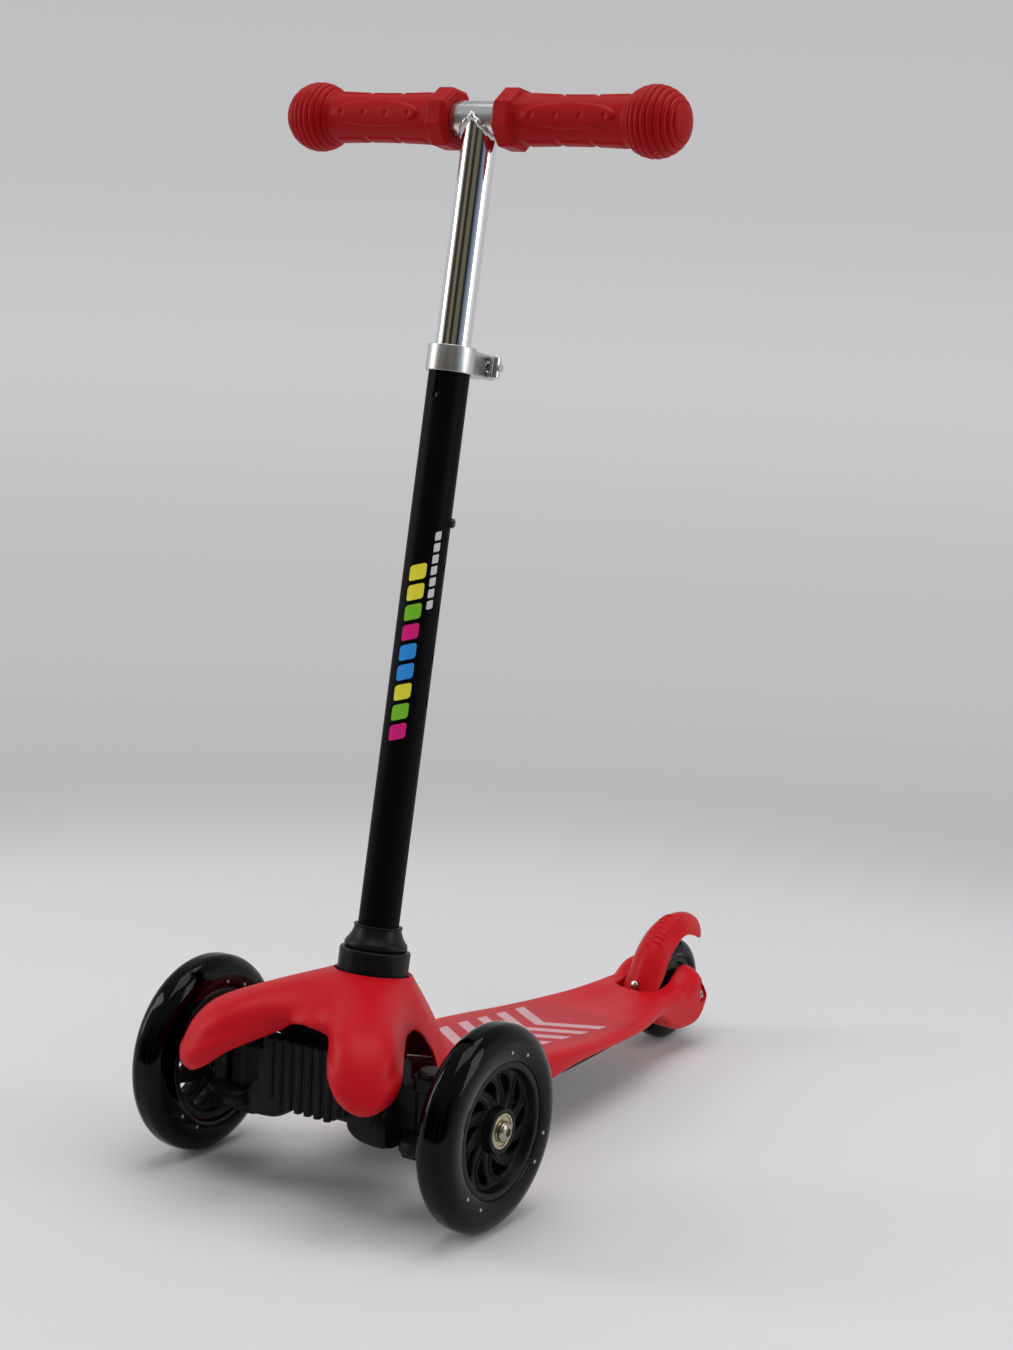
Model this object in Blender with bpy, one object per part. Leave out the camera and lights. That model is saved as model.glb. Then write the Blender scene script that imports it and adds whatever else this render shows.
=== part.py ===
"""Three-wheel kick scooter for a child, steered by leaning the deck and handlebar sideways.

Metres, +Z up, the rider faces -Y and the rider's left is +X. The ground is z = 0, and the origin is
under the middle of the scooter. Everything is laid out from the front axle, then moved to that origin.
"""
import bpy
import bmesh
from math import acos, atan2, ceil, cos, hypot, pi, radians, sin, sqrt
from mathutils import Matrix, Vector

# Clearances
GAP = 0.0003

# Layout
FRONT_TRACK = 0.213
WHEELBASE = 0.4035
FRONT_WHEEL_R = 0.0625
REAR_WHEEL_R = 0.0375
STEM_RAKE = radians(8.3)
STEM_FOOT_Y = 0.0268
STEM_FOOT_Z = 0.122
STEER_LEAN_MAX = radians(10)

# Wheels
FRONT_TYRE_WIDTH = 0.024
REAR_TYRE_WIDTH = 0.020
TYRE_CROWN_FLAT = 0.004
TYRE_ARC_STEPS = 3
FRONT_CORE_R = 0.0413
REAR_CORE_R = 0.0250
CORE_FLANGE_DEPTH = 0.0080
REAR_FLANGE_DEPTH = 0.0030
CORE_FLANGE_WIDTH = 0.0030
CORE_RIM_WALL = 0.0046
CORE_WEB_WIDTH = 0.0090
HUB_R = 0.0135
HUB_WIDTH = 0.0228
FRONT_WHEEL_SIDES = 20
REAR_WHEEL_SIDES = 16
BEARING_R = 0.011
BEARING_BORE_R = 0.0042
BEARING_WIDTH = 0.007
BEARING_SHIELD_R = 0.0092
BEARING_SIDES = 10
SLEEVE_WALL = 0.0018
AXLE_R = 0.0038
AXLE_HEAD_R = 0.0064
AXLE_HEAD_HEIGHT = 0.0040
AXLE_SOCKET_R = 0.0029
AXLE_SOCKET_DEPTH = 0.0024
SPOKE_GAP_COUNT = 10

# Stem and handlebar, measured along the stem from its foot
TUBE_WALL = 0.0014
LOWER_TUBE_R = 0.0127
LOWER_TUBE_DEPTH = 0.0273
LOWER_TUBE_TOP = 0.3910
UPPER_TUBE_R = 0.0111
UPPER_TUBE_WALL = 0.0015
UPPER_TUBE_FOOT = 0.2405
HANDLE_HEIGHT = 0.5306
HEIGHT_TRAVEL = 0.110
HEIGHT_STEPS = 4
TUBE_SIDES = 14
SLIT_WIDTH = 0.0020
SLIT_FOOT = 0.3618
SLIT_EYE_R = 0.0017
CROSSBAR_R = 0.0111
CROSSBAR_HALF = 0.118
COLLAR_R = 0.0220
COLLAR_HEIGHT = 0.0222
FERRULE_FOOT_R = 0.0195
FERRULE_HEIGHT = 0.0145

# Grips, measured along the crossbar from the middle
GRIP_START = 0.017
GRIP_FLANGE_LENGTH = 0.015
GRIP_FLANGE_ACROSS = 0.0355
GRIP_R = 0.0150
GRIP_WAIST_R = 0.0142
GRIP_BALL_X = 0.1215
GRIP_BALL_R = 0.0215
GRIP_BALL_RIBS = 6
GRIP_RIB_DEPTH = 0.0009
GRIP_END = 0.1420
GRIP_SIDES = 14
GRIP_CAP_R = 0.0118
GRIP_BORE_END = 0.1195
GRIP_PAD_LENGTH = 0.066
GRIP_PAD_HEIGHT = 0.017
GRIP_PAD_RISE = 0.0012

# Snap clips that lock the handlebar's height and the stem in its socket
CLIP_BUTTON_R = 0.0030
CLIP_BUTTON_PROUD = 0.0026
CLIP_HOLE_R = 0.0034
CLIP_LEAF_WIDTH = 0.0070
CLIP_LEAF_THICKNESS = 0.0007
CLIP_LEAF_LENGTH = 0.036
HEIGHT_CLIP_AT = 0.2860
HEIGHT_CLIP_AZIMUTH = radians(115)
STEM_CLIP_AT = 0.0165
STEM_CLIP_AZIMUTH = radians(270)

# Clamp at the top of the lower tube
CLAMP_WALL = 0.0017
CLAMP_HEIGHT = 0.0160
CLAMP_SLIT = 0.0020
EAR_REACH = 0.0370
EAR_THICKNESS = 0.0085
EAR_HEIGHT = 0.0145
CLAMP_BOLT_R = 0.0025
CLAMP_BOLT_Y = 0.0285
FORK_SLOT_HEIGHT = 0.0065
BARREL_NUT_R = 0.0036
BARREL_NUT_HEIGHT = 0.0130
CAM_R = 0.0055
CAM_OFFSET = 0.0008
CAM_PIN_R = 0.0022
CLAMP_WASHER_THICKNESS = 0.0015
LEVER_LENGTH = 0.030
LEVER_THICKNESS = 0.0035

# Front end
LEAN_Z = 0.070
LEAN_BOLT_R = 0.0049
LEAN_BOLT_HEAD_R = 0.0090
LEAN_BOLT_HEAD_HEIGHT = 0.0058
LEAN_BOSS_R = 0.0140
BEAM_HALF = 0.045
BEAM_FRONT = -0.028
BEAM_BACK = 0.012
BEAM_LOW = 0.0525
BEAM_TOP = 0.088
EYE_R = 0.0100
EYE_TOP = 0.078
KINGPIN_INSET = 0.0375
KINGPIN_X = FRONT_TRACK / 2 - KINGPIN_INSET
KINGPIN_Y = -0.004
KINGPIN_R = 0.0040
KINGPIN_CAP_R = 0.0085
KINGPIN_CAP_HEIGHT = 0.0038
EAR_TOP = 0.086
KNUCKLE_LOW = 0.036
KNUCKLE_WEB_X = KINGPIN_X + 0.0105
KNUCKLE_WEB_THICKNESS = 0.0095
KNUCKLE_BOSS_R = 0.0090
STEER_ARM = 0.022
STEER_ARM_THICKNESS = 0.0065
TIE_ROD_R = 0.0027
TIE_EYE_R = 0.0050
TIE_EYE_HEIGHT = 0.0060
TIE_PIN_R = 0.0020
DRIVE_ARM = 0.024
STEER_RATIO = DRIVE_ARM / STEER_ARM
TIE_ROD_Z = LEAN_Z - DRIVE_ARM
DRIVE_PIN_R = 0.0030
SHROUD_HALF = 0.031
SHROUD_TOP = 0.098
SHROUD_LOW = 0.0565
SHROUD_WALL = 0.0025
SHROUD_DEPTH = 0.0095
SHROUD_RIB_PITCH = 0.0073
SHROUD_RIB_R = 0.0026
CASTING_BOSS_FRONT = 0.0128
CASTING_BOSS_BACK = 0.050
CASTING_NECK_BACK = 0.044
CASTING_NECK_TOP = 0.100
ARM_LOW = 0.112
ARM_THICKNESS = 0.007
SOCKET_R = 0.019
SPRING_X = 0.030
SPRING_Y = -0.010
SPRING_R = 0.0069
SPRING_WIRE_R = 0.0011
SPRING_TURNS = 4
SPRING_PEG_R = 0.0050
SPRING_PEG_HEIGHT = 0.0040
FOOT_PLATE_HALF = 0.033
FOOT_PLATE_BACK = 0.096
FOOT_PLATE_LOW = 0.046
FOOT_PLATE_THICKNESS = 0.0055

# Front cover
COVER_WALL = 0.0025
COVER_TOP_Z = 0.1345
COVER_WING_AZIMUTH = radians(34)
COVER_WING_HALF = 0.022
COVER_WING_REACH = 0.120
COVER_CURL = 0.0070
COVER_STEPS_ROUND = 40
COVER_STEPS_UP = 4
COVER_SCREW_X = 0.0150
COVER_SCREW_Y = -0.0130

# Deck
DECK_FRONT = 0.054
DECK_BACK = WHEELBASE - 0.0555
DECK_SKIN = 0.0042
DECK_WALL = 0.0045
SLOT_HALF = 0.0165
SLOT_FRONT = WHEELBASE - 0.0585
LOBE_OUTER = 0.0335
LOBE_EDGE = 0.0035
RECESS_HALF_WIDTH = 0.0072
RECESS_HALF_HEIGHT = 0.0084
RECESS_DEPTH = 0.0050
SCREW_R = 0.0023
DECK_SCREW_X = 0.022
DECK_SCREW_FRONT_Y = 0.082
DECK_SCREW_REAR_Y = DECK_BACK - 0.048
SCREW_HEAD_R = 0.0045
SCREW_HEAD_HEIGHT = 0.0024
SCREW_HEAD_SUNK = 0.0004

# Black tray under the deck
TRAY_FRONT = 0.050
TRAY_HEEL = DECK_BACK - 0.030
TRAY_BACK = DECK_BACK - 0.014
TRAY_LOW = 0.0300
TRAY_RISE = 0.0030
TRAY_RISE_FROM = 0.200
TRAY_HEEL_TOP = 0.0362
TRAY_POCKETS = 5
TRAY_POCKET_WALL = 0.005
TRAY_POCKET_ROOF = 0.0375

# Brake fender
FENDER_HALF = 0.0135
FENDER_WALL = 0.0020
FENDER_SAG = 0.0016
FENDER_NEAR_R = 0.0447
FENDER_TAIL_R = 0.0612
FENDER_TAIL_ANGLE = radians(146)
FENDER_GROWTH = 2.3
BRAKE_PIN_Y = WHEELBASE - FENDER_NEAR_R - 0.0050
BRAKE_PIN_Z = 0.0360
BRAKE_PIN_R = 0.0022
BRAKE_BARREL_R = 0.0046
BRAKE_SPRING_HALF = 0.0052
BRAKE_SPRING_R = 0.0040
BRAKE_SPRING_WIRE_R = 0.0006
BRAKE_SPRING_TURNS = 4
BRAKE_RIVET_X = -0.0070
BRAKE_RIVET_ANGLE = radians(17)
BRAKE_RIVET_R = 0.0030

for old in list(bpy.data.objects):
    bpy.data.objects.remove(old, do_unlink=True)


def finish(name, colour, roughness, metallic=0.0):
    """A plain Principled material."""
    made = bpy.data.materials.new(name)
    made.use_nodes = True
    shader = made.node_tree.nodes["Principled BSDF"]
    shader.inputs["Base Color"].default_value = (*colour, 1)
    shader.inputs["Roughness"].default_value = roughness
    shader.inputs["Metallic"].default_value = metallic
    made.diffuse_color = (*colour, 1)
    return made


RED_PLASTIC = finish("red_plastic", (0.62, 0.02, 0.03), 0.35)
RED_RUBBER = finish("red_rubber", (0.58, 0.02, 0.03), 0.5)
BLACK_PLASTIC = finish("black_plastic", (0.012, 0.012, 0.013), 0.4)
BLACK_PAINT = finish("black_paint", (0.01, 0.01, 0.011), 0.5)
SMOKY_URETHANE = finish("smoky_urethane", (0.02, 0.021, 0.022), 0.12)
CHROME = finish("chrome", (0.75, 0.76, 0.78), 0.08, 1.0)
ZINC = finish("zinc", (0.55, 0.52, 0.45), 0.3, 1.0)
STEEL = finish("steel", (0.6, 0.6, 0.6), 0.3, 1.0)
SPRING_STEEL = finish("spring_steel", (0.3, 0.3, 0.31), 0.35, 1.0)
ALUMINIUM = finish("aluminium", (0.7, 0.71, 0.72), 0.28, 1.0)


def spot(name, parent, location, rotation=(0, 0, 0)):
    """An empty that carries other objects, on the axis that they share."""
    empty = bpy.data.objects.new(name, None)
    bpy.context.collection.objects.link(empty)
    empty.parent = parent
    empty.location = location
    empty.rotation_euler = rotation
    return empty


def piece(name, bm, look, parent, origin=(0, 0, 0)):
    """An object from a mesh drawn in its parent's space, with its own origin where stated."""
    bmesh.ops.recalc_face_normals(bm, faces=bm.faces)
    bmesh.ops.translate(bm, verts=bm.verts, vec=-Vector(origin))
    mesh = bpy.data.meshes.new(name)
    bm.to_mesh(mesh)
    bm.free()
    mesh.shade_smooth()
    mesh.set_sharp_from_angle(angle=radians(35))
    made = bpy.data.objects.new(name, mesh)
    bpy.context.collection.objects.link(made)
    made.parent = parent
    made.location = origin
    if look:
        mesh.materials.append(look)
    return made


def guide(name, bm, parent):
    """A tool shape for cutting or joining, which isn't part of the scooter."""
    made = piece(name, bm, None, parent)
    made.hide_render = True
    made.display_type = "WIRE"
    return made


def combine(target, tool, how):
    """Cut the tool from the target, or join it on."""
    boolean = target.modifiers.new(tool.name, "BOOLEAN")
    boolean.operation = how
    boolean.object = tool


def cut(target, *tools):
    for tool in tools:
        combine(target, tool, "DIFFERENCE")


def join(target, *tools):
    for tool in tools:
        combine(target, tool, "UNION")


def bevel(target, width, segments=2, angle=40):
    """Round the target's sharp edges."""
    rounding = target.modifiers.new("edge", "BEVEL")
    rounding.width = width
    rounding.segments = segments
    rounding.limit_method = "ANGLE"
    rounding.angle_limit = radians(angle)


def spun(profile, sides, flats_out=False):
    """Turn (radius, height) points about Z; flats_out puts the flats, not the corners, at the radius."""
    bm = bmesh.new()
    grow = 1 / cos(pi / sides) if flats_out else 1
    start = Matrix.Rotation(pi / sides, 3, "Z")
    verts = [bm.verts.new(start @ Vector((radius * grow, 0, height))) for radius, height in profile]
    closed = profile[0][0] > 0
    links = len(verts) if closed else len(verts) - 1
    edges = [bm.edges.new((verts[k], verts[(k + 1) % len(verts)])) for k in range(links)]
    bmesh.ops.spin(bm, geom=verts + edges, axis=(0, 0, 1), cent=(0, 0, 0), angle=2 * pi, steps=sides, use_merge=True)
    bmesh.ops.remove_doubles(bm, verts=bm.verts, dist=1e-6)
    return bm


def rod(radius, low, high, sides, flats_out=False):
    """A plain round bar between two heights."""
    grow = 1 / cos(pi / sides) if flats_out else 1
    bm = bmesh.new()
    place = Matrix.Translation((0, 0, (low + high) / 2)) @ Matrix.Rotation(pi / sides, 4, "Z")
    bmesh.ops.create_cone(bm, cap_ends=True, cap_tris=False, segments=sides, radius1=radius * grow,
                          radius2=radius * grow, depth=abs(high - low), matrix=place)
    return bm


def tube(outer, inner, low, high, sides):
    """A ring or tube whose bore has its flats at the inner radius."""
    bore = inner / cos(pi / sides)
    return spun([(bore, low), (outer, low), (outer, high), (bore, high)], sides)


def lay(bm, axis):
    """Turn a mesh drawn along Z to lie along +X or +Y."""
    turn = Matrix.Rotation(pi / 2, 4, "Y") if axis == "X" else Matrix.Rotation(-pi / 2, 4, "X")
    bmesh.ops.transform(bm, matrix=turn, verts=bm.verts)
    return bm


def moved(bm, x=0.0, y=0.0, z=0.0):
    bmesh.ops.translate(bm, verts=bm.verts, vec=(x, y, z))
    return bm


def turned(bm, angle, axis="Z"):
    bmesh.ops.rotate(bm, verts=bm.verts, cent=(0, 0, 0), matrix=Matrix.Rotation(angle, 3, axis))
    return bm


def box(low, high):
    bm = bmesh.new()
    size = Vector(high) - Vector(low)
    middle = (Vector(high) + Vector(low)) / 2
    bmesh.ops.create_cube(bm, size=1, matrix=Matrix.Translation(middle) @ Matrix.Diagonal((*size, 1)))
    return bm


def prism(outline, low, high, axis="Z"):
    """Extrude an outline along an axis; it is drawn in the other two, in the order X, Y, Z."""
    place = {"X": lambda a, b, d: (d, a, b), "Y": lambda a, b, d: (a, d, b), "Z": lambda a, b, d: (a, b, d)}[axis]
    bm = bmesh.new()
    ends = [[bm.verts.new(place(a, b, depth)) for a, b in outline] for depth in (low, high)]
    for end in ends:
        bm.faces.new(end)
    count = len(outline)
    for k in range(count):
        after = (k + 1) % count
        bm.faces.new((ends[0][k], ends[0][after], ends[1][after], ends[1][k]))
    return bm


def lofted(rings, round_trip=False):
    """Skin a run of closed rings; without round_trip its two ends are capped."""
    bm = bmesh.new()
    rows = [[bm.verts.new(point) for point in ring] for ring in rings]
    count = len(rows[0])
    for i in range(len(rows) if round_trip else len(rows) - 1):
        here, there = rows[i], rows[(i + 1) % len(rows)]
        for k in range(count):
            after = (k + 1) % count
            bm.faces.new((here[k], here[after], there[after], there[k]))
    if not round_trip:
        bm.faces.new(rows[0])
        bm.faces.new(rows[-1])
    return bm


def added(bm, other):
    """Put another closed mesh into this one as a separate solid."""
    mesh = bpy.data.meshes.new("passing")
    other.to_mesh(mesh)
    other.free()
    bm.from_mesh(mesh)
    bpy.data.meshes.remove(mesh)
    return bm


def smooth_between(table, at):
    """Read a smooth curve through rows of (position, value, value...)."""
    rows = list(table)
    if at <= rows[0][0]:
        return rows[0][1:]
    if at >= rows[-1][0]:
        return rows[-1][1:]
    k = max(i for i in range(len(rows) - 1) if rows[i][0] <= at)
    before, here, there, after = rows[max(k - 1, 0)], rows[k], rows[k + 1], rows[min(k + 2, len(rows) - 1)]
    span = there[0] - here[0]
    t = (at - here[0]) / span
    values = []
    for c in range(1, len(here)):
        slope_here = (there[c] - before[c]) / (there[0] - before[0]) * span
        slope_there = (after[c] - here[c]) / (after[0] - here[0]) * span
        values.append(
            (2 * t**3 - 3 * t**2 + 1) * here[c] + (t**3 - 2 * t**2 + t) * slope_here
            + (3 * t**2 - 2 * t**3) * there[c] + (t**3 - t**2) * slope_there
        )
    return tuple(values)


def wire(name, points, radius, look, parent):
    """One unbroken round wire along points."""
    curve = bpy.data.curves.new(name, "CURVE")
    curve.dimensions = "3D"
    curve.bevel_depth = radius
    curve.bevel_resolution = 1
    curve.use_fill_caps = True
    spline = curve.splines.new("POLY")
    spline.points.add(len(points) - 1)
    for target, point in zip(spline.points, points):
        target.co = (*point, 1)
    curve.materials.append(look)
    made = bpy.data.objects.new(name, curve)
    bpy.context.collection.objects.link(made)
    made.parent = parent
    return made


def coil(radius, wire_radius, turns, low, high, points_per_turn=8):
    """Points of a coil about Z between two heights, with closer end turns."""
    count = turns * points_per_turn
    rise = high - low - 2 * wire_radius
    points = []
    for k in range(count + 1):
        share = k / count
        eased = share - 0.06 * sin(2 * pi * share)
        angle = 2 * pi * turns * share
        points.append(Vector((radius * cos(angle), radius * sin(angle), low + wire_radius + rise * eased)))
    return points


def least_gap(points, wire_radius, points_per_turn=8):
    """The narrowest space between one turn and another."""
    half = points_per_turn // 2
    pairs = ((a, b) for a in range(len(points)) for b in range(a + half, len(points)))
    return min((points[a] - points[b]).length for a, b in pairs) - 2 * wire_radius


# The frame of empties that everything hangs on
chassis = spot("chassis", None, (0, 0, 0))
stem = spot("stem", chassis, (0, STEM_FOOT_Y, STEM_FOOT_Z), (-STEM_RAKE, 0, 0))
handle = spot("handle", stem, (0, 0, HANDLE_HEIGHT))
lean_axis = spot("lean_axis", chassis, (0, 0, LEAN_Z))


def tyre_mesh(radius, width, core_radius, flange_depth, sides):
    """Round-sided urethane tyre, cast over the core's flange, with a narrow flat on its crown."""
    flat = TYRE_CROWN_FLAT / 2
    half = []
    for k in range(TYRE_ARC_STEPS + 1):
        angle = pi / 2 * k / TYRE_ARC_STEPS
        half.append((radius - width / 2 + width / 2 * cos(angle), flat + (width / 2 - flat) * sin(angle)))
    foot = core_radius + GAP
    groove = CORE_FLANGE_WIDTH / 2 + GAP
    half += [(foot, width / 2 - 0.0012), (foot, groove), (foot + flange_depth, groove)]
    return spun(half + [(r, -z) for r, z in reversed(half)], sides, flats_out=True)


def core_mesh(width, core_radius, flange_depth, sides):
    """Plastic core with a rim, a flange that grips the tyre, a web and a hub for two bearings."""
    half = [
        (core_radius + flange_depth - GAP, CORE_FLANGE_WIDTH / 2),
        (core_radius, CORE_FLANGE_WIDTH / 2),
        (core_radius, width / 2 - 0.0014),
        (core_radius - CORE_RIM_WALL, width / 2 - 0.0014),
        (core_radius - CORE_RIM_WALL - 0.0010, CORE_WEB_WIDTH / 2),
        (HUB_R, CORE_WEB_WIDTH / 2),
        (HUB_R, HUB_WIDTH / 2),
        (BEARING_R + GAP, HUB_WIDTH / 2),
    ]
    return spun(half + [(r, -z) for r, z in reversed(half)], sides, flats_out=True)


def spoke_gaps():
    """Ten curved teardrop openings that sweep round the core's web."""
    inner = HUB_R + 0.0030
    outer = FRONT_CORE_R - CORE_RIM_WALL - 0.0028
    tools = bmesh.new()
    for k in range(SPOKE_GAP_COUNT):
        left, right = [], []
        for step in range(4):
            share = step / 3
            radius = inner + (outer - inner) * share
            middle = radians(26) * share**1.4
            half_width = (0.0012 + 0.0038 * sin(pi * min(share, 0.92) ** 1.3)) / radius
            left.append((radius, middle - half_width))
            right.append((radius, middle + half_width))
        ring = left + list(reversed(right))
        base = 2 * pi * k / SPOKE_GAP_COUNT
        outline = [(r * cos(base + a), r * sin(base + a)) for r, a in ring]
        added(tools, prism(outline, -CORE_WEB_WIDTH, CORE_WEB_WIDTH))
    return tools


def bearing_mesh():
    """A sealed ball bearing, its shield set back on one side."""
    half = BEARING_WIDTH / 2
    profile = [
        (BEARING_BORE_R / cos(pi / BEARING_SIDES), -half),
        (BEARING_R - GAP, -half),
        (BEARING_R - GAP, half),
        (BEARING_SHIELD_R, half),
        (BEARING_SHIELD_R - 0.0004, half - 0.0004),
        (BEARING_BORE_R / cos(pi / BEARING_SIDES), half - 0.0004),
    ]
    return spun(profile, BEARING_SIDES)


def bearing_pair(name, hub):
    """Two bearings in a hub with their shields outward, and the sleeve that keeps them apart."""
    seat = HUB_WIDTH / 2 - BEARING_WIDTH / 2
    piece(name + "_bearing_outer", moved(bearing_mesh(), z=seat), ZINC, hub)
    piece(name + "_bearing_inner", moved(turned(bearing_mesh(), pi, "X"), z=-seat), ZINC, hub)
    inner_faces = HUB_WIDTH / 2 - BEARING_WIDTH - GAP
    sleeve = tube(BEARING_BORE_R + SLEEVE_WALL, BEARING_BORE_R, -inner_faces, inner_faces, 8)
    piece(name + "_sleeve", sleeve, STEEL, hub)


def axle_bolt(head_seat, tip, sides=10):
    """Button-head bolt along +Z with a hexagon socket; its head's underside is at head_seat."""
    dome = [
        (0, tip),
        (AXLE_R, tip),
        (AXLE_R, head_seat),
        (AXLE_HEAD_R, head_seat),
        (AXLE_HEAD_R, head_seat + AXLE_HEAD_HEIGHT * 0.35),
        (AXLE_HEAD_R * 0.82, head_seat + AXLE_HEAD_HEIGHT * 0.8),
        (AXLE_SOCKET_R * 1.3, head_seat + AXLE_HEAD_HEIGHT),
        (0, head_seat + AXLE_HEAD_HEIGHT),
    ]
    return spun(dome, sides)


def front_wheel(side, tag):
    """One front wheel and its axle bolt; side is 1 for the rider's left."""
    centre = (side * FRONT_TRACK / 2, 0, FRONT_WHEEL_R)
    hub = spot("front_hub_" + tag, chassis, centre, (0, side * pi / 2, 0))
    tyre = tyre_mesh(FRONT_WHEEL_R, FRONT_TYRE_WIDTH, FRONT_CORE_R, CORE_FLANGE_DEPTH, FRONT_WHEEL_SIDES)
    piece("front_tyre_" + tag, tyre, SMOKY_URETHANE, hub)
    core = core_mesh(FRONT_TYRE_WIDTH, FRONT_CORE_R, CORE_FLANGE_DEPTH, FRONT_WHEEL_SIDES)
    core = piece("front_core_" + tag, core, BLACK_PLASTIC, hub)
    cut(core, guide("spoke_gaps_" + tag, spoke_gaps(), hub))
    bearing_pair("front_" + tag, hub)
    tip = KNUCKLE_WEB_X + 0.002 - FRONT_TRACK / 2
    bolt = piece("front_axle_bolt_" + tag, axle_bolt(HUB_WIDTH / 2 + GAP, tip), STEEL, hub)
    top = HUB_WIDTH / 2 + GAP + AXLE_HEAD_HEIGHT
    cut(bolt, guide("axle_socket_" + tag, rod(AXLE_SOCKET_R, top - AXLE_SOCKET_DEPTH, top + 0.001, 6), hub))


def rear_wheel():
    """Rear wheel between the fork's two lobes."""
    hub = spot("rear_hub", chassis, (0, WHEELBASE, REAR_WHEEL_R), (0, pi / 2, 0))
    tyre = tyre_mesh(REAR_WHEEL_R, REAR_TYRE_WIDTH, REAR_CORE_R, REAR_FLANGE_DEPTH, REAR_WHEEL_SIDES)
    piece("rear_tyre", tyre, SMOKY_URETHANE, hub)
    core = core_mesh(REAR_TYRE_WIDTH, REAR_CORE_R, REAR_FLANGE_DEPTH, REAR_WHEEL_SIDES)
    piece("rear_core", core, BLACK_PLASTIC, hub)
    bearing_pair("rear", hub)
    seat = LOBE_OUTER - RECESS_DEPTH + GAP
    bolt = piece("rear_axle_bolt", axle_bolt(seat, -seat - 0.0045), STEEL, hub)
    top = seat + AXLE_HEAD_HEIGHT
    cut(bolt, guide("rear_axle_socket", rod(AXLE_SOCKET_R, top - AXLE_SOCKET_DEPTH, top + 0.001, 6), hub))
    nut = tube(AXLE_HEAD_R, AXLE_R + GAP, -seat - 0.0042, -seat, 6)
    piece("rear_axle_nut", nut, STEEL, hub)


front_wheel(1, "left")
front_wheel(-1, "right")
rear_wheel()


def slit_tool():
    """Keyhole slit that lets the tube's top close on the inner tube."""
    return box((-SLIT_WIDTH / 2, -2 * LOWER_TUBE_R, SLIT_FOOT), (SLIT_WIDTH / 2, 0, LOWER_TUBE_TOP + 0.01))


def radial_rod(radius, near, far, azimuth, height, sides=8):
    """A rod that points away from the stem, at an azimuth from the front towards the rider's left."""
    made = rod(radius, near, far, sides)
    turned(made, pi / 2, "X")
    turned(made, azimuth)
    return moved(made, z=height)


def lower_tube():
    """Black outer tube with its clamping slit, height holes and socket hole."""
    bore = LOWER_TUBE_R - TUBE_WALL
    made = tube(LOWER_TUBE_R, bore, -LOWER_TUBE_DEPTH, LOWER_TUBE_TOP, TUBE_SIDES)
    made = piece("lower_stem_tube", made, BLACK_PAINT, stem)
    eye = radial_rod(SLIT_EYE_R, LOWER_TUBE_R / 2, 2 * LOWER_TUBE_R, 0, SLIT_FOOT, 8)
    cut(made, guide("slit", slit_tool(), stem), guide("slit_eye", eye, stem))
    holes = radial_rod(CLIP_HOLE_R, 0.5 * bore, 1.5 * LOWER_TUBE_R, STEM_CLIP_AZIMUTH, STEM_CLIP_AT)
    for k in range(HEIGHT_STEPS + 1):
        height = HEIGHT_CLIP_AT - HEIGHT_TRAVEL * k / HEIGHT_STEPS
        added(holes, radial_rod(CLIP_HOLE_R, 0.5 * bore, 1.5 * LOWER_TUBE_R, HEIGHT_CLIP_AZIMUTH, height))
    cut(made, guide("clip_holes", holes, stem))


def upper_tube():
    """Chromed inner tube, its top shaped to the crossbar that it is welded to."""
    bore = UPPER_TUBE_R - UPPER_TUBE_WALL
    made = tube(UPPER_TUBE_R, bore, UPPER_TUBE_FOOT - HANDLE_HEIGHT, -0.2 * CROSSBAR_R, TUBE_SIDES)
    made = piece("upper_stem_tube", made, CHROME, handle)
    saddle = lay(rod(CROSSBAR_R + GAP, -2 * CROSSBAR_R, 2 * CROSSBAR_R, TUBE_SIDES, flats_out=True), "X")
    height = HEIGHT_CLIP_AT - HANDLE_HEIGHT
    hole = radial_rod(CLIP_HOLE_R, 0.5 * bore, 1.5 * UPPER_TUBE_R, HEIGHT_CLIP_AZIMUTH, height)
    cut(made, guide("saddle", saddle, handle), guide("upper_clip_hole", hole, handle))


def crossbar():
    made = tube(CROSSBAR_R, CROSSBAR_R - UPPER_TUBE_WALL, -CROSSBAR_HALF, CROSSBAR_HALF, TUBE_SIDES)
    piece("crossbar", lay(made, "X"), CHROME, handle)


def snap_clip(name, parent, azimuth, height, button_from, button_to, bore):
    """One-piece leaf clip: a spring strip bent into a V inside the tube, with a button on one leg."""
    half = CLIP_LEAF_WIDTH / 2
    reach = sqrt((bore - 0.0003) ** 2 - half**2)
    thick = CLIP_LEAF_THICKNESS
    top = 0.006
    bend = top - CLIP_LEAF_LENGTH
    far = reach - CLIP_BUTTON_PROUD - GAP
    outside = [(reach, top), (reach, bend * 0.4), (0.45 * reach, bend + 0.002), (0, bend)]
    outside += [(-0.45 * far, bend + 0.002), (-far, bend * 0.4), (-far, top)]
    inside = [(-far + thick, top), (-far + thick, bend * 0.4 + thick), (-0.4 * far, bend + 0.002 + thick)]
    inside += [(0, bend + thick), (0.4 * reach, bend + 0.002 + thick), (reach - thick, bend * 0.4 + thick)]
    inside += [(reach - thick, top)]
    leaf = prism(outside + inside, -half, half, "Y")
    turned(leaf, azimuth - pi / 2)
    moved(leaf, z=height)
    made = piece(name, leaf, SPRING_STEEL, parent)
    tip = spun([(0, button_from), (CLIP_BUTTON_R, button_from), (CLIP_BUTTON_R, button_to - 0.0010),
                (CLIP_BUTTON_R * 0.6, button_to), (0, button_to)], 10)
    turned(tip, pi / 2, "X")
    turned(tip, azimuth)
    moved(tip, z=height)
    join(made, guide(name + "_button", tip, parent))
    return made


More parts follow.
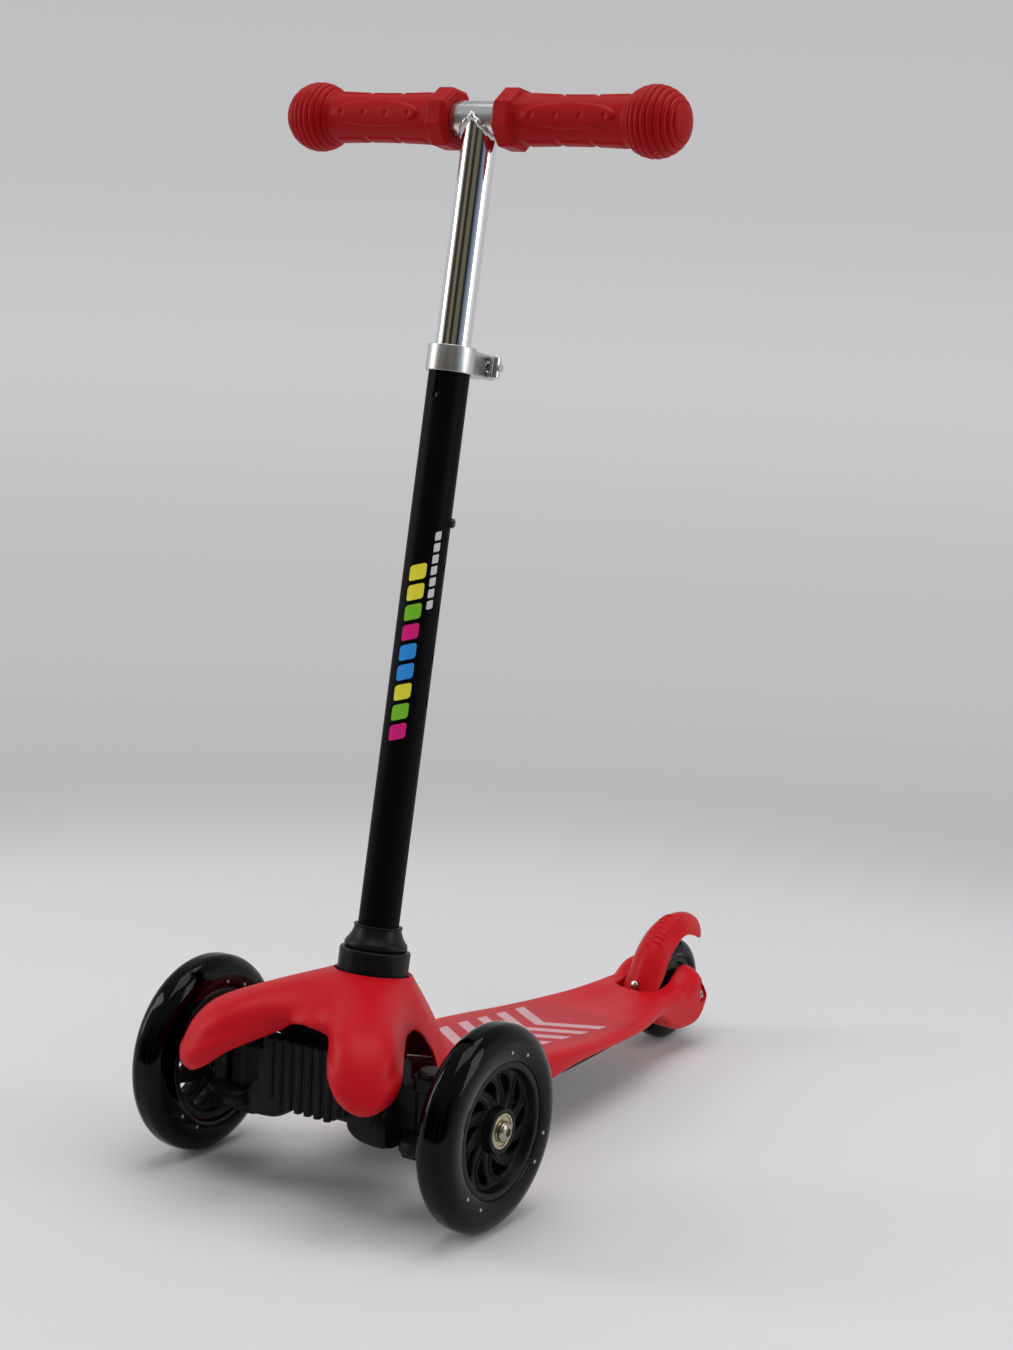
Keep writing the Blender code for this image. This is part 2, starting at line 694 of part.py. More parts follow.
def stem_parts():
    lower_tube()
    upper_tube()
    crossbar()
    inner_bore = UPPER_TUBE_R - UPPER_TUBE_WALL
    button_root = sqrt((inner_bore - 0.0003) ** 2 - (CLIP_LEAF_WIDTH / 2) ** 2) - CLIP_LEAF_THICKNESS / 2
    height = HEIGHT_CLIP_AT - HANDLE_HEIGHT
    snap_clip("height_snap_clip", handle, HEIGHT_CLIP_AZIMUTH, height, button_root,
              LOWER_TUBE_R + CLIP_BUTTON_PROUD, inner_bore)
    outer_bore = LOWER_TUBE_R - TUBE_WALL
    button_root = sqrt((outer_bore - 0.0003) ** 2 - (CLIP_LEAF_WIDTH / 2) ** 2) - CLIP_LEAF_THICKNESS / 2
    snap_clip("stem_snap_clip", stem, STEM_CLIP_AZIMUTH, STEM_CLIP_AT, button_root,
              COLLAR_R + CLIP_BUTTON_PROUD, outer_bore)
    bore = (LOWER_TUBE_R + GAP) / cos(pi / TUBE_SIDES)
    collar = spun([(bore, GAP), (COLLAR_R - 0.0010, GAP), (COLLAR_R, 0.0012), (COLLAR_R, COLLAR_HEIGHT - 0.0012),
                   (COLLAR_R - 0.0012, COLLAR_HEIGHT), (bore, COLLAR_HEIGHT)], TUBE_SIDES)
    collar = piece("head_collar", collar, BLACK_PLASTIC, stem)
    hole = radial_rod(CLIP_HOLE_R, LOWER_TUBE_R * 0.8, COLLAR_R * 1.2, STEM_CLIP_AZIMUTH, STEM_CLIP_AT)
    cut(collar, guide("collar_hole", hole, stem))
    low = COLLAR_HEIGHT + GAP
    high = low + FERRULE_HEIGHT
    ferrule = spun([(bore, low), (FERRULE_FOOT_R, low), (FERRULE_FOOT_R, low + 0.0030), (0.0165, low + 0.0060),
                    (0.0152, high - 0.0035), (0.0158, high - 0.0020), (0.0152, high), (bore, high)], TUBE_SIDES)
    piece("stem_ferrule", ferrule, BLACK_PLASTIC, stem)


stem_parts()


def grip_profile():
    """Outline of a grip along the bar: waisted body, ribbed ball and domed end."""
    body_end = GRIP_BALL_X - sqrt(GRIP_BALL_R**2 - GRIP_R**2)
    points = [(GRIP_R, GRIP_START), (GRIP_R, GRIP_START + GRIP_FLANGE_LENGTH)]
    points += [(GRIP_WAIST_R, (GRIP_START + body_end) / 2 + 0.006), (GRIP_R, body_end)]
    first = -acos((GRIP_BALL_X - body_end) / GRIP_BALL_R)
    start_angle = pi + first
    end_angle = atan2(GRIP_CAP_R, sqrt(GRIP_BALL_R**2 - GRIP_CAP_R**2))
    for k in range(2 * GRIP_BALL_RIBS + 1):
        angle = start_angle + (end_angle - start_angle) * k / (2 * GRIP_BALL_RIBS)
        radius = GRIP_BALL_R - (GRIP_RIB_DEPTH if k % 2 else 0)
        if k:
            points.append((radius * sin(angle), GRIP_BALL_X + radius * cos(angle)))
    points += [(GRIP_CAP_R * 0.9, GRIP_END - 0.0010), (GRIP_CAP_R * 0.5, GRIP_END), (0, GRIP_END)]
    return [(0, GRIP_BORE_END), (CROSSBAR_R + GAP, GRIP_BORE_END), (CROSSBAR_R + GAP, GRIP_START)] + points


def oval(length, height, steps=12):
    return [(length / 2 * cos(2 * pi * k / steps), height / 2 * sin(2 * pi * k / steps)) for k in range(steps)]


def grip(side, tag):
    """Rubber grip with an octagonal flange, a ribbed ball end and raised pads; pushed on to the bar."""
    place = spot("grip_place_" + tag, handle, (0, 0, 0), (0, side * pi / 2, 0))
    made = piece("grip_" + tag, spun(grip_profile(), GRIP_SIDES, flats_out=True), RED_RUBBER, place)
    flange = spun([(CROSSBAR_R + GAP * 2, GRIP_START), (GRIP_FLANGE_ACROSS / 2 - 0.002, GRIP_START),
                   (GRIP_FLANGE_ACROSS / 2, GRIP_START + 0.003),
                   (GRIP_FLANGE_ACROSS / 2, GRIP_START + GRIP_FLANGE_LENGTH - 0.004),
                   (GRIP_R - 0.001, GRIP_START + GRIP_FLANGE_LENGTH), (CROSSBAR_R + GAP * 2, GRIP_START + 0.013)],
                  8, flats_out=True)
    join(made, guide("flange_" + tag, flange, place))
    middle = (GRIP_START + GRIP_FLANGE_LENGTH + GRIP_BALL_X - 0.014) / 2
    pad = prism([(a, b + middle) for b, a in oval(GRIP_PAD_LENGTH, GRIP_PAD_HEIGHT)],
                -GRIP_R - GRIP_PAD_RISE, -CROSSBAR_R - 0.0012, "Y")
    join(made, guide("pad_" + tag, pad, place))


grip(1, "left")
grip(-1, "right")


def clamp():
    """Quick-release collar with two ears behind the tube, its bolt, barrel nut, washer and cam lever."""
    place = spot("clamp_place", stem, (0, 0, LOWER_TUBE_TOP - CLAMP_HEIGHT / 2 + 0.0015))
    bore = LOWER_TUBE_R + GAP
    outer = bore + CLAMP_WALL
    half = CLAMP_HEIGHT / 2
    made = piece("clamp_collar", tube(outer, bore, -half, half, TUBE_SIDES), ALUMINIUM, place)
    ear_root = sqrt(outer**2 - 0.0095**2) - 0.002
    ear_out = CLAMP_SLIT / 2 + EAR_THICKNESS
    ears = box((-ear_out, ear_root, -EAR_HEIGHT / 2), (ear_out, EAR_REACH, EAR_HEIGHT / 2))
    ears = guide("ears", ears, place)
    bevel(ears, 0.0012, 1)
    refit = guide("ear_bore", rod(bore, -CLAMP_HEIGHT, CLAMP_HEIGHT, TUBE_SIDES, flats_out=True), place)
    slit = guide("clamp_slit", box((-CLAMP_SLIT / 2, 0, -CLAMP_HEIGHT), (CLAMP_SLIT / 2, 0.06, CLAMP_HEIGHT)), place)
    notch = box((0, CLAMP_BOLT_Y - FORK_SLOT_HEIGHT / 2, -FORK_SLOT_HEIGHT / 2), (0.03, 0.06, FORK_SLOT_HEIGHT / 2))
    hole = moved(lay(rod(CLAMP_BOLT_R + GAP, -0.03, 0, 10, flats_out=True), "X"), y=CLAMP_BOLT_Y)
    join(made, ears)
    cut(made, refit, slit, guide("fork_notch", notch, place), guide("ear_hole", hole, place))
    nut_x = ear_out + GAP + BARREL_NUT_R
    cam_x = -(ear_out + GAP + CLAMP_WASHER_THICKNESS + GAP + CAM_R + CAM_OFFSET)
    nut = piece("clamp_barrel_nut", moved(rod(BARREL_NUT_R, -BARREL_NUT_HEIGHT / 2, BARREL_NUT_HEIGHT / 2, 12),
                                          nut_x, CLAMP_BOLT_Y), STEEL, place)
    nut_bore = lay(rod(CLAMP_BOLT_R + GAP, nut_x - 0.01, nut_x + 0.01, 10, flats_out=True), "X")
    cut(nut, guide("nut_bore", moved(nut_bore, y=CLAMP_BOLT_Y), place))
    bolt = lay(rod(CLAMP_BOLT_R, cam_x + CAM_PIN_R + GAP, nut_x + BARREL_NUT_R + 0.0012, 10), "X")
    piece("clamp_bolt", moved(bolt, y=CLAMP_BOLT_Y), STEEL, place)
    washer = lay(tube(0.0060, CLAMP_BOLT_R + GAP, -ear_out - GAP - CLAMP_WASHER_THICKNESS, -ear_out - GAP, 12), "X")
    piece("clamp_washer", moved(washer, y=CLAMP_BOLT_Y), BLACK_PLASTIC, place)
    pin = moved(rod(CAM_PIN_R, -EAR_HEIGHT / 2, EAR_HEIGHT / 2, 12), cam_x, CLAMP_BOLT_Y)
    piece("clamp_cam_pin", pin, STEEL, place)
    axis = (cam_x, CLAMP_BOLT_Y, 0)
    lever = moved(rod(CAM_R, -EAR_HEIGHT / 2, EAR_HEIGHT / 2, 16), cam_x + CAM_OFFSET, CLAMP_BOLT_Y)
    lever = piece("clamp_lever", lever, ALUMINIUM, place, axis)
    blade_back = cam_x - CAM_R + CAM_OFFSET
    blade = prism([(blade_back, CLAMP_BOLT_Y), (blade_back, CLAMP_BOLT_Y - LEVER_LENGTH + 0.003),
                   (blade_back + 0.001, CLAMP_BOLT_Y - LEVER_LENGTH),
                   (blade_back + LEVER_THICKNESS, CLAMP_BOLT_Y - LEVER_LENGTH),
                   (blade_back + LEVER_THICKNESS, CLAMP_BOLT_Y - 0.008),
                   (blade_back + LEVER_THICKNESS + 0.002, CLAMP_BOLT_Y)], -EAR_HEIGHT / 2 + 0.001, EAR_HEIGHT / 2 - 0.001)
    join(lever, guide("blade", blade, place))
    bolt_way = box((cam_x - 0.0035, CLAMP_BOLT_Y - 0.02, -CLAMP_BOLT_R - GAP),
                   (cam_x + 0.02, CLAMP_BOLT_Y + 0.02, CLAMP_BOLT_R + GAP))
    back_way = box((cam_x - 0.02, CLAMP_BOLT_Y - 0.0002, -CLAMP_BOLT_R - GAP),
                   (cam_x, CLAMP_BOLT_Y + 0.02, CLAMP_BOLT_R + GAP))
    pin_hole = moved(rod(CAM_PIN_R + GAP, -0.02, 0.02, 12, flats_out=True), cam_x, CLAMP_BOLT_Y)
    cut(lever, guide("lever_pin_hole", pin_hole, place), guide("lever_slot", bolt_way, place),
        guide("lever_back_slot", back_way, place))


clamp()


def bore_along_y(radius, front, back, z, x=0.0, sides=16):
    return moved(lay(rod(radius, front, back, sides, flats_out=True), "Y"), x=x, z=z)


def head_casting():
    """Cast head: stem socket, lean pivot boss, arms over the springs, drive pin and a foot on the deck frame."""
    boss = moved(lay(rod(LEAN_BOSS_R, CASTING_BOSS_FRONT, CASTING_BOSS_BACK, TUBE_SIDES), "Y"), z=LEAN_Z)
    made = piece("head_casting", boss, BLACK_PAINT, chassis)
    neck_front = CASTING_BOSS_FRONT + 0.0007
    neck_half = LEAN_BOSS_R - 0.0006
    neck = box((-neck_half, neck_front, LEAN_Z + 0.0013), (neck_half, CASTING_NECK_BACK, CASTING_NECK_TOP))
    neck = guide("neck", neck, chassis)
    socket = guide("socket", rod(SOCKET_R, -LOWER_TUBE_DEPTH - 0.0012, -0.0001, TUBE_SIDES), stem)
    web = box((-0.012, 0.024, TIE_ROD_Z - 0.006), (0.012, CASTING_BOSS_BACK - 0.0005, LEAN_Z - 0.008))
    web = guide("web", web, chassis)
    top = ARM_LOW + ARM_THICKNESS
    arm_outline = [(-0.040, -0.020), (0.040, -0.020), (0.041, -0.003), (0.017, 0.022), (-0.017, 0.022), (-0.041, -0.003)]
    arms = guide("arms", prism(arm_outline, ARM_LOW, top), chassis)
    foot_top = FOOT_PLATE_LOW + FOOT_PLATE_THICKNESS
    foot_outline = [(-0.011, 0.026), (0.011, 0.026), (0.028, 0.044), (0.030, 0.064), (FOOT_PLATE_HALF, 0.074),
                    (FOOT_PLATE_HALF, FOOT_PLATE_BACK), (-FOOT_PLATE_HALF, FOOT_PLATE_BACK),
                    (-FOOT_PLATE_HALF, 0.074), (-0.030, 0.064), (-0.028, 0.044)]
    foot = guide("foot", prism(foot_outline, FOOT_PLATE_LOW, foot_top), chassis)
    pin = lay(rod(DRIVE_PIN_R, BEAM_BACK + 0.0012, 0.030, 12), "Y")
    pin = guide("drive_pin", moved(pin, z=TIE_ROD_Z), chassis)
    join(made, neck, socket, web, arms, foot, pin)
    for side, tag in ((1, "left"), (-1, "right")):
        peg = moved(rod(SPRING_PEG_R, ARM_LOW - SPRING_PEG_HEIGHT, ARM_LOW + 0.002, 10), side * SPRING_X, SPRING_Y)
        join(made, guide("upper_peg_" + tag, peg, chassis))
    stem_bore = guide("stem_bore", rod(LOWER_TUBE_R + GAP, -LOWER_TUBE_DEPTH - GAP, 0.01, TUBE_SIDES, True), stem)
    pivot_bore = guide("casting_bore", bore_along_y(LEAN_BOLT_R + GAP, 0, 0.07, LEAN_Z), chassis)
    cut(made, pivot_bore, stem_bore)
    holes = bmesh.new()
    for side in (-1, 1):
        added(holes, moved(rod(0.0022, ARM_LOW - 0.02, top + 0.01, 10), side * COVER_SCREW_X, COVER_SCREW_Y))
        added(holes, moved(rod(SCREW_R + GAP, 0.03, 0.06, 8), side * DECK_SCREW_X, DECK_SCREW_FRONT_Y))
    cut(made, guide("casting_holes", holes, chassis))


head_casting()


def axle_beam():
    """Cross beam that carries both steering knuckles and leans about the pivot bolt."""
    made = piece("axle_beam", box((-BEAM_HALF, BEAM_FRONT, BEAM_LOW), (BEAM_HALF, BEAM_BACK, BEAM_TOP)),
                 BLACK_PLASTIC, chassis, (0, 0, LEAN_Z))
    bevel(made, 0.0030, 1)
    for side, tag in ((1, "left"), (-1, "right")):
        near, far = sorted((side * (BEAM_HALF - 0.005), side * KINGPIN_X))
        arm = box((near, KINGPIN_Y - 0.008, BEAM_LOW), (far, KINGPIN_Y + 0.008, EYE_TOP))
        eye = moved(rod(EYE_R, BEAM_LOW, EYE_TOP, 16), side * KINGPIN_X, KINGPIN_Y)
        foot = KINGPIN_X - 0.008
        root = BEAM_HALF - 0.001
        gusset = [(side * root, LEAN_Z), (side * foot, LEAN_Z), (side * root, BEAM_TOP - 0.0015)]
        gusset = prism(gusset, KINGPIN_Y - 0.005, KINGPIN_Y + 0.005, "Y")
        peg = moved(rod(SPRING_PEG_R, BEAM_TOP - 0.002, BEAM_TOP + SPRING_PEG_HEIGHT, 10), side * SPRING_X, SPRING_Y)
        join(made, guide("beam_arm_" + tag, arm, chassis), guide("beam_eye_" + tag, eye, chassis),
             guide("gusset_" + tag, gusset, chassis), guide("lower_peg_" + tag, peg, chassis))
        pin_bore = moved(rod(KINGPIN_R + GAP, 0.03, 0.10, 12, True), side * KINGPIN_X, KINGPIN_Y)
        cut(made, guide("kingpin_bore_" + tag, pin_bore, chassis))
    cut(made, guide("beam_bore", bore_along_y(LEAN_BOLT_R + GAP, -0.05, 0.03, LEAN_Z), chassis))


def shroud():
    """Ribbed plastic cap over the front of the beam and the pivot nut."""
    back = BEAM_FRONT - GAP
    front = back - SHROUD_DEPTH
    low = [(-SHROUD_HALF, SHROUD_TOP), (-SHROUD_HALF, SHROUD_LOW + 0.006), (-SHROUD_HALF + 0.008, SHROUD_LOW),
           (SHROUD_HALF - 0.008, SHROUD_LOW), (SHROUD_HALF, SHROUD_LOW + 0.006), (SHROUD_HALF, SHROUD_TOP)]
    made = piece("beam_shroud", prism(low, front, back, "Y"), BLACK_PLASTIC, chassis, (0, 0, LEAN_Z))
    ribs = int(2 * (SHROUD_HALF - SHROUD_RIB_R) / SHROUD_RIB_PITCH)
    for k in range(ribs + 1):
        x = (k - ribs / 2) * SHROUD_RIB_PITCH
        edge = abs(x) > SHROUD_HALF - 0.008
        rib = rod(SHROUD_RIB_R, SHROUD_LOW + (0.0045 if edge else 0.0) - 0.0012, SHROUD_TOP - 0.0005, 8)
        join(made, guide("shroud_rib_%d" % k, moved(rib, x, front + 0.0004), chassis))
    wall = SHROUD_WALL
    pocket = box((-SHROUD_HALF + wall, front + wall, SHROUD_LOW + wall),
                 (SHROUD_HALF - wall, back + 0.01, SHROUD_TOP - wall))
    cut(made, guide("shroud_pocket", pocket, chassis))


def lean_bolt():
    """Pivot bolt from the back, through the casting and the beam, with its nut under the shroud."""
    seat = CASTING_BOSS_BACK + GAP
    nut_back = BEAM_FRONT - GAP
    nut_front = nut_back - 0.0058
    bolt = lay(spun([(0, nut_front), (LEAN_BOLT_R, nut_front), (LEAN_BOLT_R, seat), (0, seat)], 16), "Y")
    bolt = piece("lean_pivot_bolt", moved(bolt, z=LEAN_Z), STEEL, chassis)
    head = lay(rod(LEAN_BOLT_HEAD_R, seat, seat + LEAN_BOLT_HEAD_HEIGHT, 6), "Y")
    join(bolt, guide("lean_head", moved(head, z=LEAN_Z), chassis))
    nut = lay(tube(LEAN_BOLT_HEAD_R - 0.0004, LEAN_BOLT_R + GAP, nut_front + 0.0004, nut_back, 6), "Y")
    piece("lean_pivot_nut", moved(nut, z=LEAN_Z), STEEL, chassis)


def lean_springs():
    """Two steel coils that bring the deck and handlebar upright again."""
    for side, tag in ((1, "left"), (-1, "right")):
        points = coil(SPRING_R, SPRING_WIRE_R, SPRING_TURNS, BEAM_TOP + GAP, ARM_LOW - GAP)
        print("lean spring least gap, mm:", round(1000 * least_gap(points, SPRING_WIRE_R), 2))
        points = [point + Vector((side * SPRING_X, SPRING_Y, 0)) for point in points]
        wire("lean_spring_" + tag, points, SPRING_WIRE_R, SPRING_STEEL, chassis)


axle_beam()
shroud()
lean_bolt()
lean_springs()


def knuckle(side, tag):
    """Forked stub-axle carrier that turns on the kingpin; its arm reaches back to the tie rod."""
    axis = (side * KINGPIN_X, KINGPIN_Y, FRONT_WHEEL_R)
    x = KINGPIN_X
    y = KINGPIN_Y
    web_out = KNUCKLE_WEB_X + KNUCKLE_WEB_THICKNESS
    ear_low = BEAM_LOW - 0.0004

    def sided(outline):
        return [(side * a, b) for a, b in outline]

    web = prism(sided([(KNUCKLE_WEB_X, -0.012), (web_out - 0.002, -0.014), (web_out, -0.010), (web_out, 0.008),
                       (web_out - 0.002, 0.010), (KNUCKLE_WEB_X, 0.010)]), KNUCKLE_LOW, EAR_TOP)
    made = piece("knuckle_" + tag, web, BLACK_PLASTIC, chassis, axis)
    lower = prism(sided([(x - 0.015, -0.011), (x - 0.012, -0.014), (web_out - 0.003, -0.014), (web_out - 0.003, 0.009),
                         (x - 0.009, 0.009), (x - 0.015, 0.003)]), KNUCKLE_LOW, ear_low)
    upper = prism(sided([(x - 0.010, y - 0.004), (x - 0.004, y - 0.010), (web_out - 0.003, -0.013),
                         (web_out - 0.003, 0.009), (x - 0.004, y + 0.010), (x - 0.010, y + 0.004)]),
                  EYE_TOP + 0.0004, EAR_TOP)
    arm_top = KNUCKLE_LOW + STEER_ARM_THICKNESS
    end = y + STEER_ARM
    arm = prism(sided([(x - 0.0065, 0), (x + 0.0065, 0), (x + 0.0055, end + 0.002), (x + 0.003, end + 0.005),
                       (x - 0.003, end + 0.005), (x - 0.0055, end + 0.002)]), KNUCKLE_LOW, arm_top)
    boss_out = FRONT_TRACK / 2 - HUB_WIDTH / 2 - GAP
    boss = spun([(0, web_out - 0.003), (KNUCKLE_BOSS_R, web_out - 0.003), (KNUCKLE_BOSS_R, boss_out - 0.0010),
                 (0.0058, boss_out - 0.0008), (0.0058, boss_out), (0, boss_out)], 14)
    if side < 0:
        turned(boss, pi, "X")
    boss = moved(lay(boss, "X"), z=FRONT_WHEEL_R)
    join(made, guide("lower_ear_" + tag, lower, chassis), guide("upper_ear_" + tag, upper, chassis),
         guide("steer_arm_" + tag, arm, chassis), guide("stub_boss_" + tag, boss, chassis))
    bore = moved(rod(KINGPIN_R + GAP, KNUCKLE_LOW + 0.002, 0.10, 12, True), side * x, y)
    axle = moved(lay(rod(AXLE_R + GAP, side * 0.070, side * 0.120, 12, True), "X"), z=FRONT_WHEEL_R)
    stud = moved(rod(TIE_PIN_R, arm_top - 0.002, TIE_ROD_Z + TIE_EYE_HEIGHT / 2 + 0.0012, 10), side * x, end)
    join(made, guide("tie_stud_" + tag, stud, chassis))
    cut(made, guide("knuckle_bore_" + tag, bore, chassis), guide("axle_bore_" + tag, axle, chassis))
    cap_low = EAR_TOP + GAP
    pin_low = KNUCKLE_LOW + 0.002 + GAP
    kingpin = spun([(0, pin_low), (KINGPIN_R, pin_low), (KINGPIN_R, cap_low), (KINGPIN_CAP_R, cap_low),
                    (KINGPIN_CAP_R, cap_low + KINGPIN_CAP_HEIGHT - 0.0012),
                    (KINGPIN_CAP_R - 0.0016, cap_low + KINGPIN_CAP_HEIGHT), (0, cap_low + KINGPIN_CAP_HEIGHT)], 12)
    piece("kingpin_" + tag, moved(kingpin, side * x, y), BLACK_PAINT, chassis, axis)


def tie_rod():
    """Rod behind the beam that turns both knuckles; the casting's pin runs in the slot of its middle boss."""
    y = KINGPIN_Y + STEER_ARM
    half = KINGPIN_X
    made = piece("tie_rod", moved(lay(rod(TIE_ROD_R, -half, half, 10), "X"), y=y, z=TIE_ROD_Z), STEEL, chassis)
    boss = guide("slot_boss", box((-0.007, y - 0.003, 0.038), (0.007, y + 0.003, 0.0545)), chassis)
    bevel(boss, 0.0015, 1)
    join(made, boss)
    low = TIE_ROD_Z - TIE_EYE_HEIGHT / 2
    high = TIE_ROD_Z + TIE_EYE_HEIGHT / 2
    for side, tag in ((1, "left"), (-1, "right")):
        join(made, guide("tie_eye_" + tag, moved(rod(TIE_EYE_R, low, high, 12), side * half, y), chassis))
        wide = TIE_PIN_R + GAP
        back = y + wide
        front = y - wide - STEER_ARM * (1 - cos(STEER_RATIO * STEER_LEAN_MAX)) - GAP
        slot = box((side * half - wide, front, low - 0.01), (side * half + wide, back, high + 0.01))
        cut(made, guide("tie_slot_" + tag, slot, chassis))
    wide = DRIVE_PIN_R + GAP
    slot = box((-wide, y - 0.02, TIE_ROD_Z - 0.0042), (wide, y + 0.02, TIE_ROD_Z + 0.0045))
    cut(made, guide("drive_slot", slot, chassis))


knuckle(1, "left")
knuckle(-1, "right")
tie_rod()


# Azimuth from the front in degrees, radius of the rim where no wing reaches, and height of the rim
COVER_RIM = (
    (0, 0.0690, 0.1120), (10, 0.0670, 0.1080), (19, 0.0600, 0.0980), (26, 0.0550, 0.0860), (34, 0.0500, 0.0820),
    (42, 0.0470, 0.0860), (50, 0.0450, 0.0970), (60, 0.0420, 0.1040), (75, 0.0400, 0.1050), (93, 0.0400, 0.0940),
    (107, 0.0420, 0.0800), (114, 0.0440, 0.0660), (121, 0.0465, 0.0580), (150, 0.0600, 0.0572), (180, 0.0730, 0.0570),
)


def cover_rim(azimuth):
    """Radius and height of the cover's lower edge, with the two wings as round-ended tongues."""
    radius, height = smooth_between(COVER_RIM, azimuth * 180 / pi)
    off = abs(azimuth - COVER_WING_AZIMUTH)
    end = COVER_WING_REACH - COVER_WING_HALF
    wing = 0
    if off < radians(60):
        side = COVER_WING_HALF / sin(off) if off > 0.01 else COVER_WING_REACH
        wing = side
        if end * sin(off) < COVER_WING_HALF:
            around = end * cos(off) + sqrt(COVER_WING_HALF**2 - (end * sin(off)) ** 2)
            wing = min(side, around) if off > 0.01 else around
    if wing > radius:
        blend = 0.006
        radius = wing + blend / (1 + (wing - radius) / 0.004)
        radius = min(radius, COVER_WING_REACH)
    else:
        radius = radius + 0.006 / (1 + (radius - wing) / 0.004)
    return radius, height


def cover_shape(azimuth):
    """What the cover's outer surface needs at an azimuth: reach, rim height, curl and the two powers."""
    folded = min(azimuth, 2 * pi - azimuth)
    reach, rim_z = cover_rim(folded)
    wing = max(0.0, cos(min(abs(folded - COVER_WING_AZIMUTH) * 3.2, pi / 2)))
    back = min(1.0, max(0.0, (folded - radians(95)) / radians(30)))
    return reach, rim_z, COVER_CURL * (0.12 + 0.88 * wing), 1.6 - 0.3 * back, 2.0 - 0.8 * back


COVER_HOLE_R = COLLAR_R + 0.0024
COVER_CENTRE_Y = STEM_FOOT_Y + (COVER_TOP_Z - STEM_FOOT_Z) * sin(STEM_RAKE) / cos(STEM_RAKE)


def cover_height(azimuth, share):
    """Height of the outer surface at a share of the way from the stem's hole to the rim."""
    reach, rim_z, curl, curve, power = cover_shape(azimuth)
    low = rim_z + curl
    return low + (COVER_TOP_Z - low) * max(0.0, 1 - share**curve) ** (1 / power)


def cover_height_at(x, y):
    """Height of the cover's outer surface over a point."""
    azimuth = abs(atan2(x, COVER_CENTRE_Y - y))
    reach = cover_shape(azimuth)[0]
    return cover_height(azimuth, (hypot(x, COVER_CENTRE_Y - y) - COVER_HOLE_R) / (reach - COVER_HOLE_R))


def front_cover():
    """Red moulded shell: two wings forward over the axle ends and a broad leg back on to the deck."""
    azimuths = []
    half_count = COVER_STEPS_ROUND // 2
    for k in range(half_count + 1):
        share = k / half_count
        azimuths.append(pi * (share - 0.30 * sin(2 * pi * share) / (2 * pi)))
    rings = []
    for azimuth in azimuths + [2 * pi - a for a in reversed(azimuths[1:-1])]:
        reach, rim_z, curl, curve, power = cover_shape(azimuth)
        column = []
        for step in range(COVER_STEPS_UP + 1):
            share = sin(pi / 2 * step / COVER_STEPS_UP) ** (2 / curve)
            column.append((COVER_HOLE_R + (reach - COVER_HOLE_R) * share, cover_height(azimuth, share)))
        column.append((reach - 0.2 * curl, rim_z + 0.4 * curl))
        column.append((reach - 0.7 * curl, rim_z))
        rings.append([Vector((r * sin(azimuth), COVER_CENTRE_Y - r * cos(azimuth), z)) for r, z in column])
    bm = bmesh.new()
    rows = [[bm.verts.new(point) for point in ring] for ring in rings]
    for i in range(len(rows)):
        here, there = rows[i], rows[(i + 1) % len(rows)]
        for k in range(len(here) - 1):
            bm.faces.new((here[k], here[k + 1], there[k + 1], there[k]))
    made = piece("front_cover", bm, RED_PLASTIC, chassis)
    shell = made.modifiers.new("shell", "SOLIDIFY")
    shell.thickness = COVER_WALL
    shell.offset = -1
    shell.use_even_offset = False
    return made


cover = front_cover()


def cover_fixing():
    """Two bosses inside the cover, with the screws that pull it down on to the casting's arms."""
    seat = ARM_LOW + ARM_THICKNESS + GAP
    boss_top = cover_height_at(COVER_SCREW_X, COVER_SCREW_Y) - COVER_WALL / 2
    bore_top = boss_top - COVER_WALL
    for side, tag in ((1, "left"), (-1, "right")):
        x = side * COVER_SCREW_X
        join(cover, guide("cover_boss_" + tag, moved(rod(0.0042, seat, boss_top, 12), x, COVER_SCREW_Y), chassis))
        cut(cover, guide("cover_bore_" + tag, moved(rod(0.0019, seat - 0.001, bore_top, 8), x, COVER_SCREW_Y), chassis))
        head = ARM_LOW - GAP
        screw = spun([(0, head - 0.0022), (0.0034, head - 0.0022), (0.0034, head), (0.0016, head),
                      (0.0016, bore_top - GAP), (0, bore_top - GAP)], 8)
        piece("cover_screw_" + tag, moved(screw, x, COVER_SCREW_Y), STEEL, chassis)


cover_fixing()

# Share of the way along the deck, half width, height of the top and height of the side skirt's lower edge
DECK_SHAPE = (
    (0.000, 0.0370, 0.0565, 0.0340), (0.071, 0.0440, 0.0565, 0.0315), (0.156, 0.0500, 0.0568, 0.0300),
    (0.258, 0.0540, 0.0572, 0.0330), (0.347, 0.0555, 0.0562, 0.0385), (0.429, 0.0560, 0.0545, 0.0420),
    (0.531, 0.0550, 0.0517, 0.0425), (0.650, 0.0520, 0.0485, 0.0405), (0.769, 0.0480, 0.0462, 0.0385),
    (0.854, 0.0440, 0.0452, 0.0375), (0.939, 0.0360, 0.0456, 0.0375), (1.000, 0.0310, 0.0480, 0.0380),
)
DECK_STATIONS = 12


def deck_size(y):
    """Half width, height of the top and height of the skirt's lower edge at a place along the deck."""
    return smooth_between(DECK_SHAPE, (y - DECK_FRONT) / (DECK_BACK - DECK_FRONT))


def deck_section(y):
    """A shallow channel: top skin, rounded edge, skirt, and open underside."""
    half, top, low = deck_size(y)
    right = [
        (half - 0.012, top), (half - 0.004, top - 0.0008), (half - 0.0008, top - 0.0026), (half, top - 0.0045),
        (half - 0.0010, low + 0.0012), (half - 0.0022, low), (half - DECK_WALL, low),
        (half - DECK_WALL, top - DECK_SKIN - 0.0025), (half - DECK_WALL - 0.0040, top - DECK_SKIN),
    ]
    return [Vector((x, y, z)) for x, z in right + [(-x, z) for x, z in reversed(right)]]


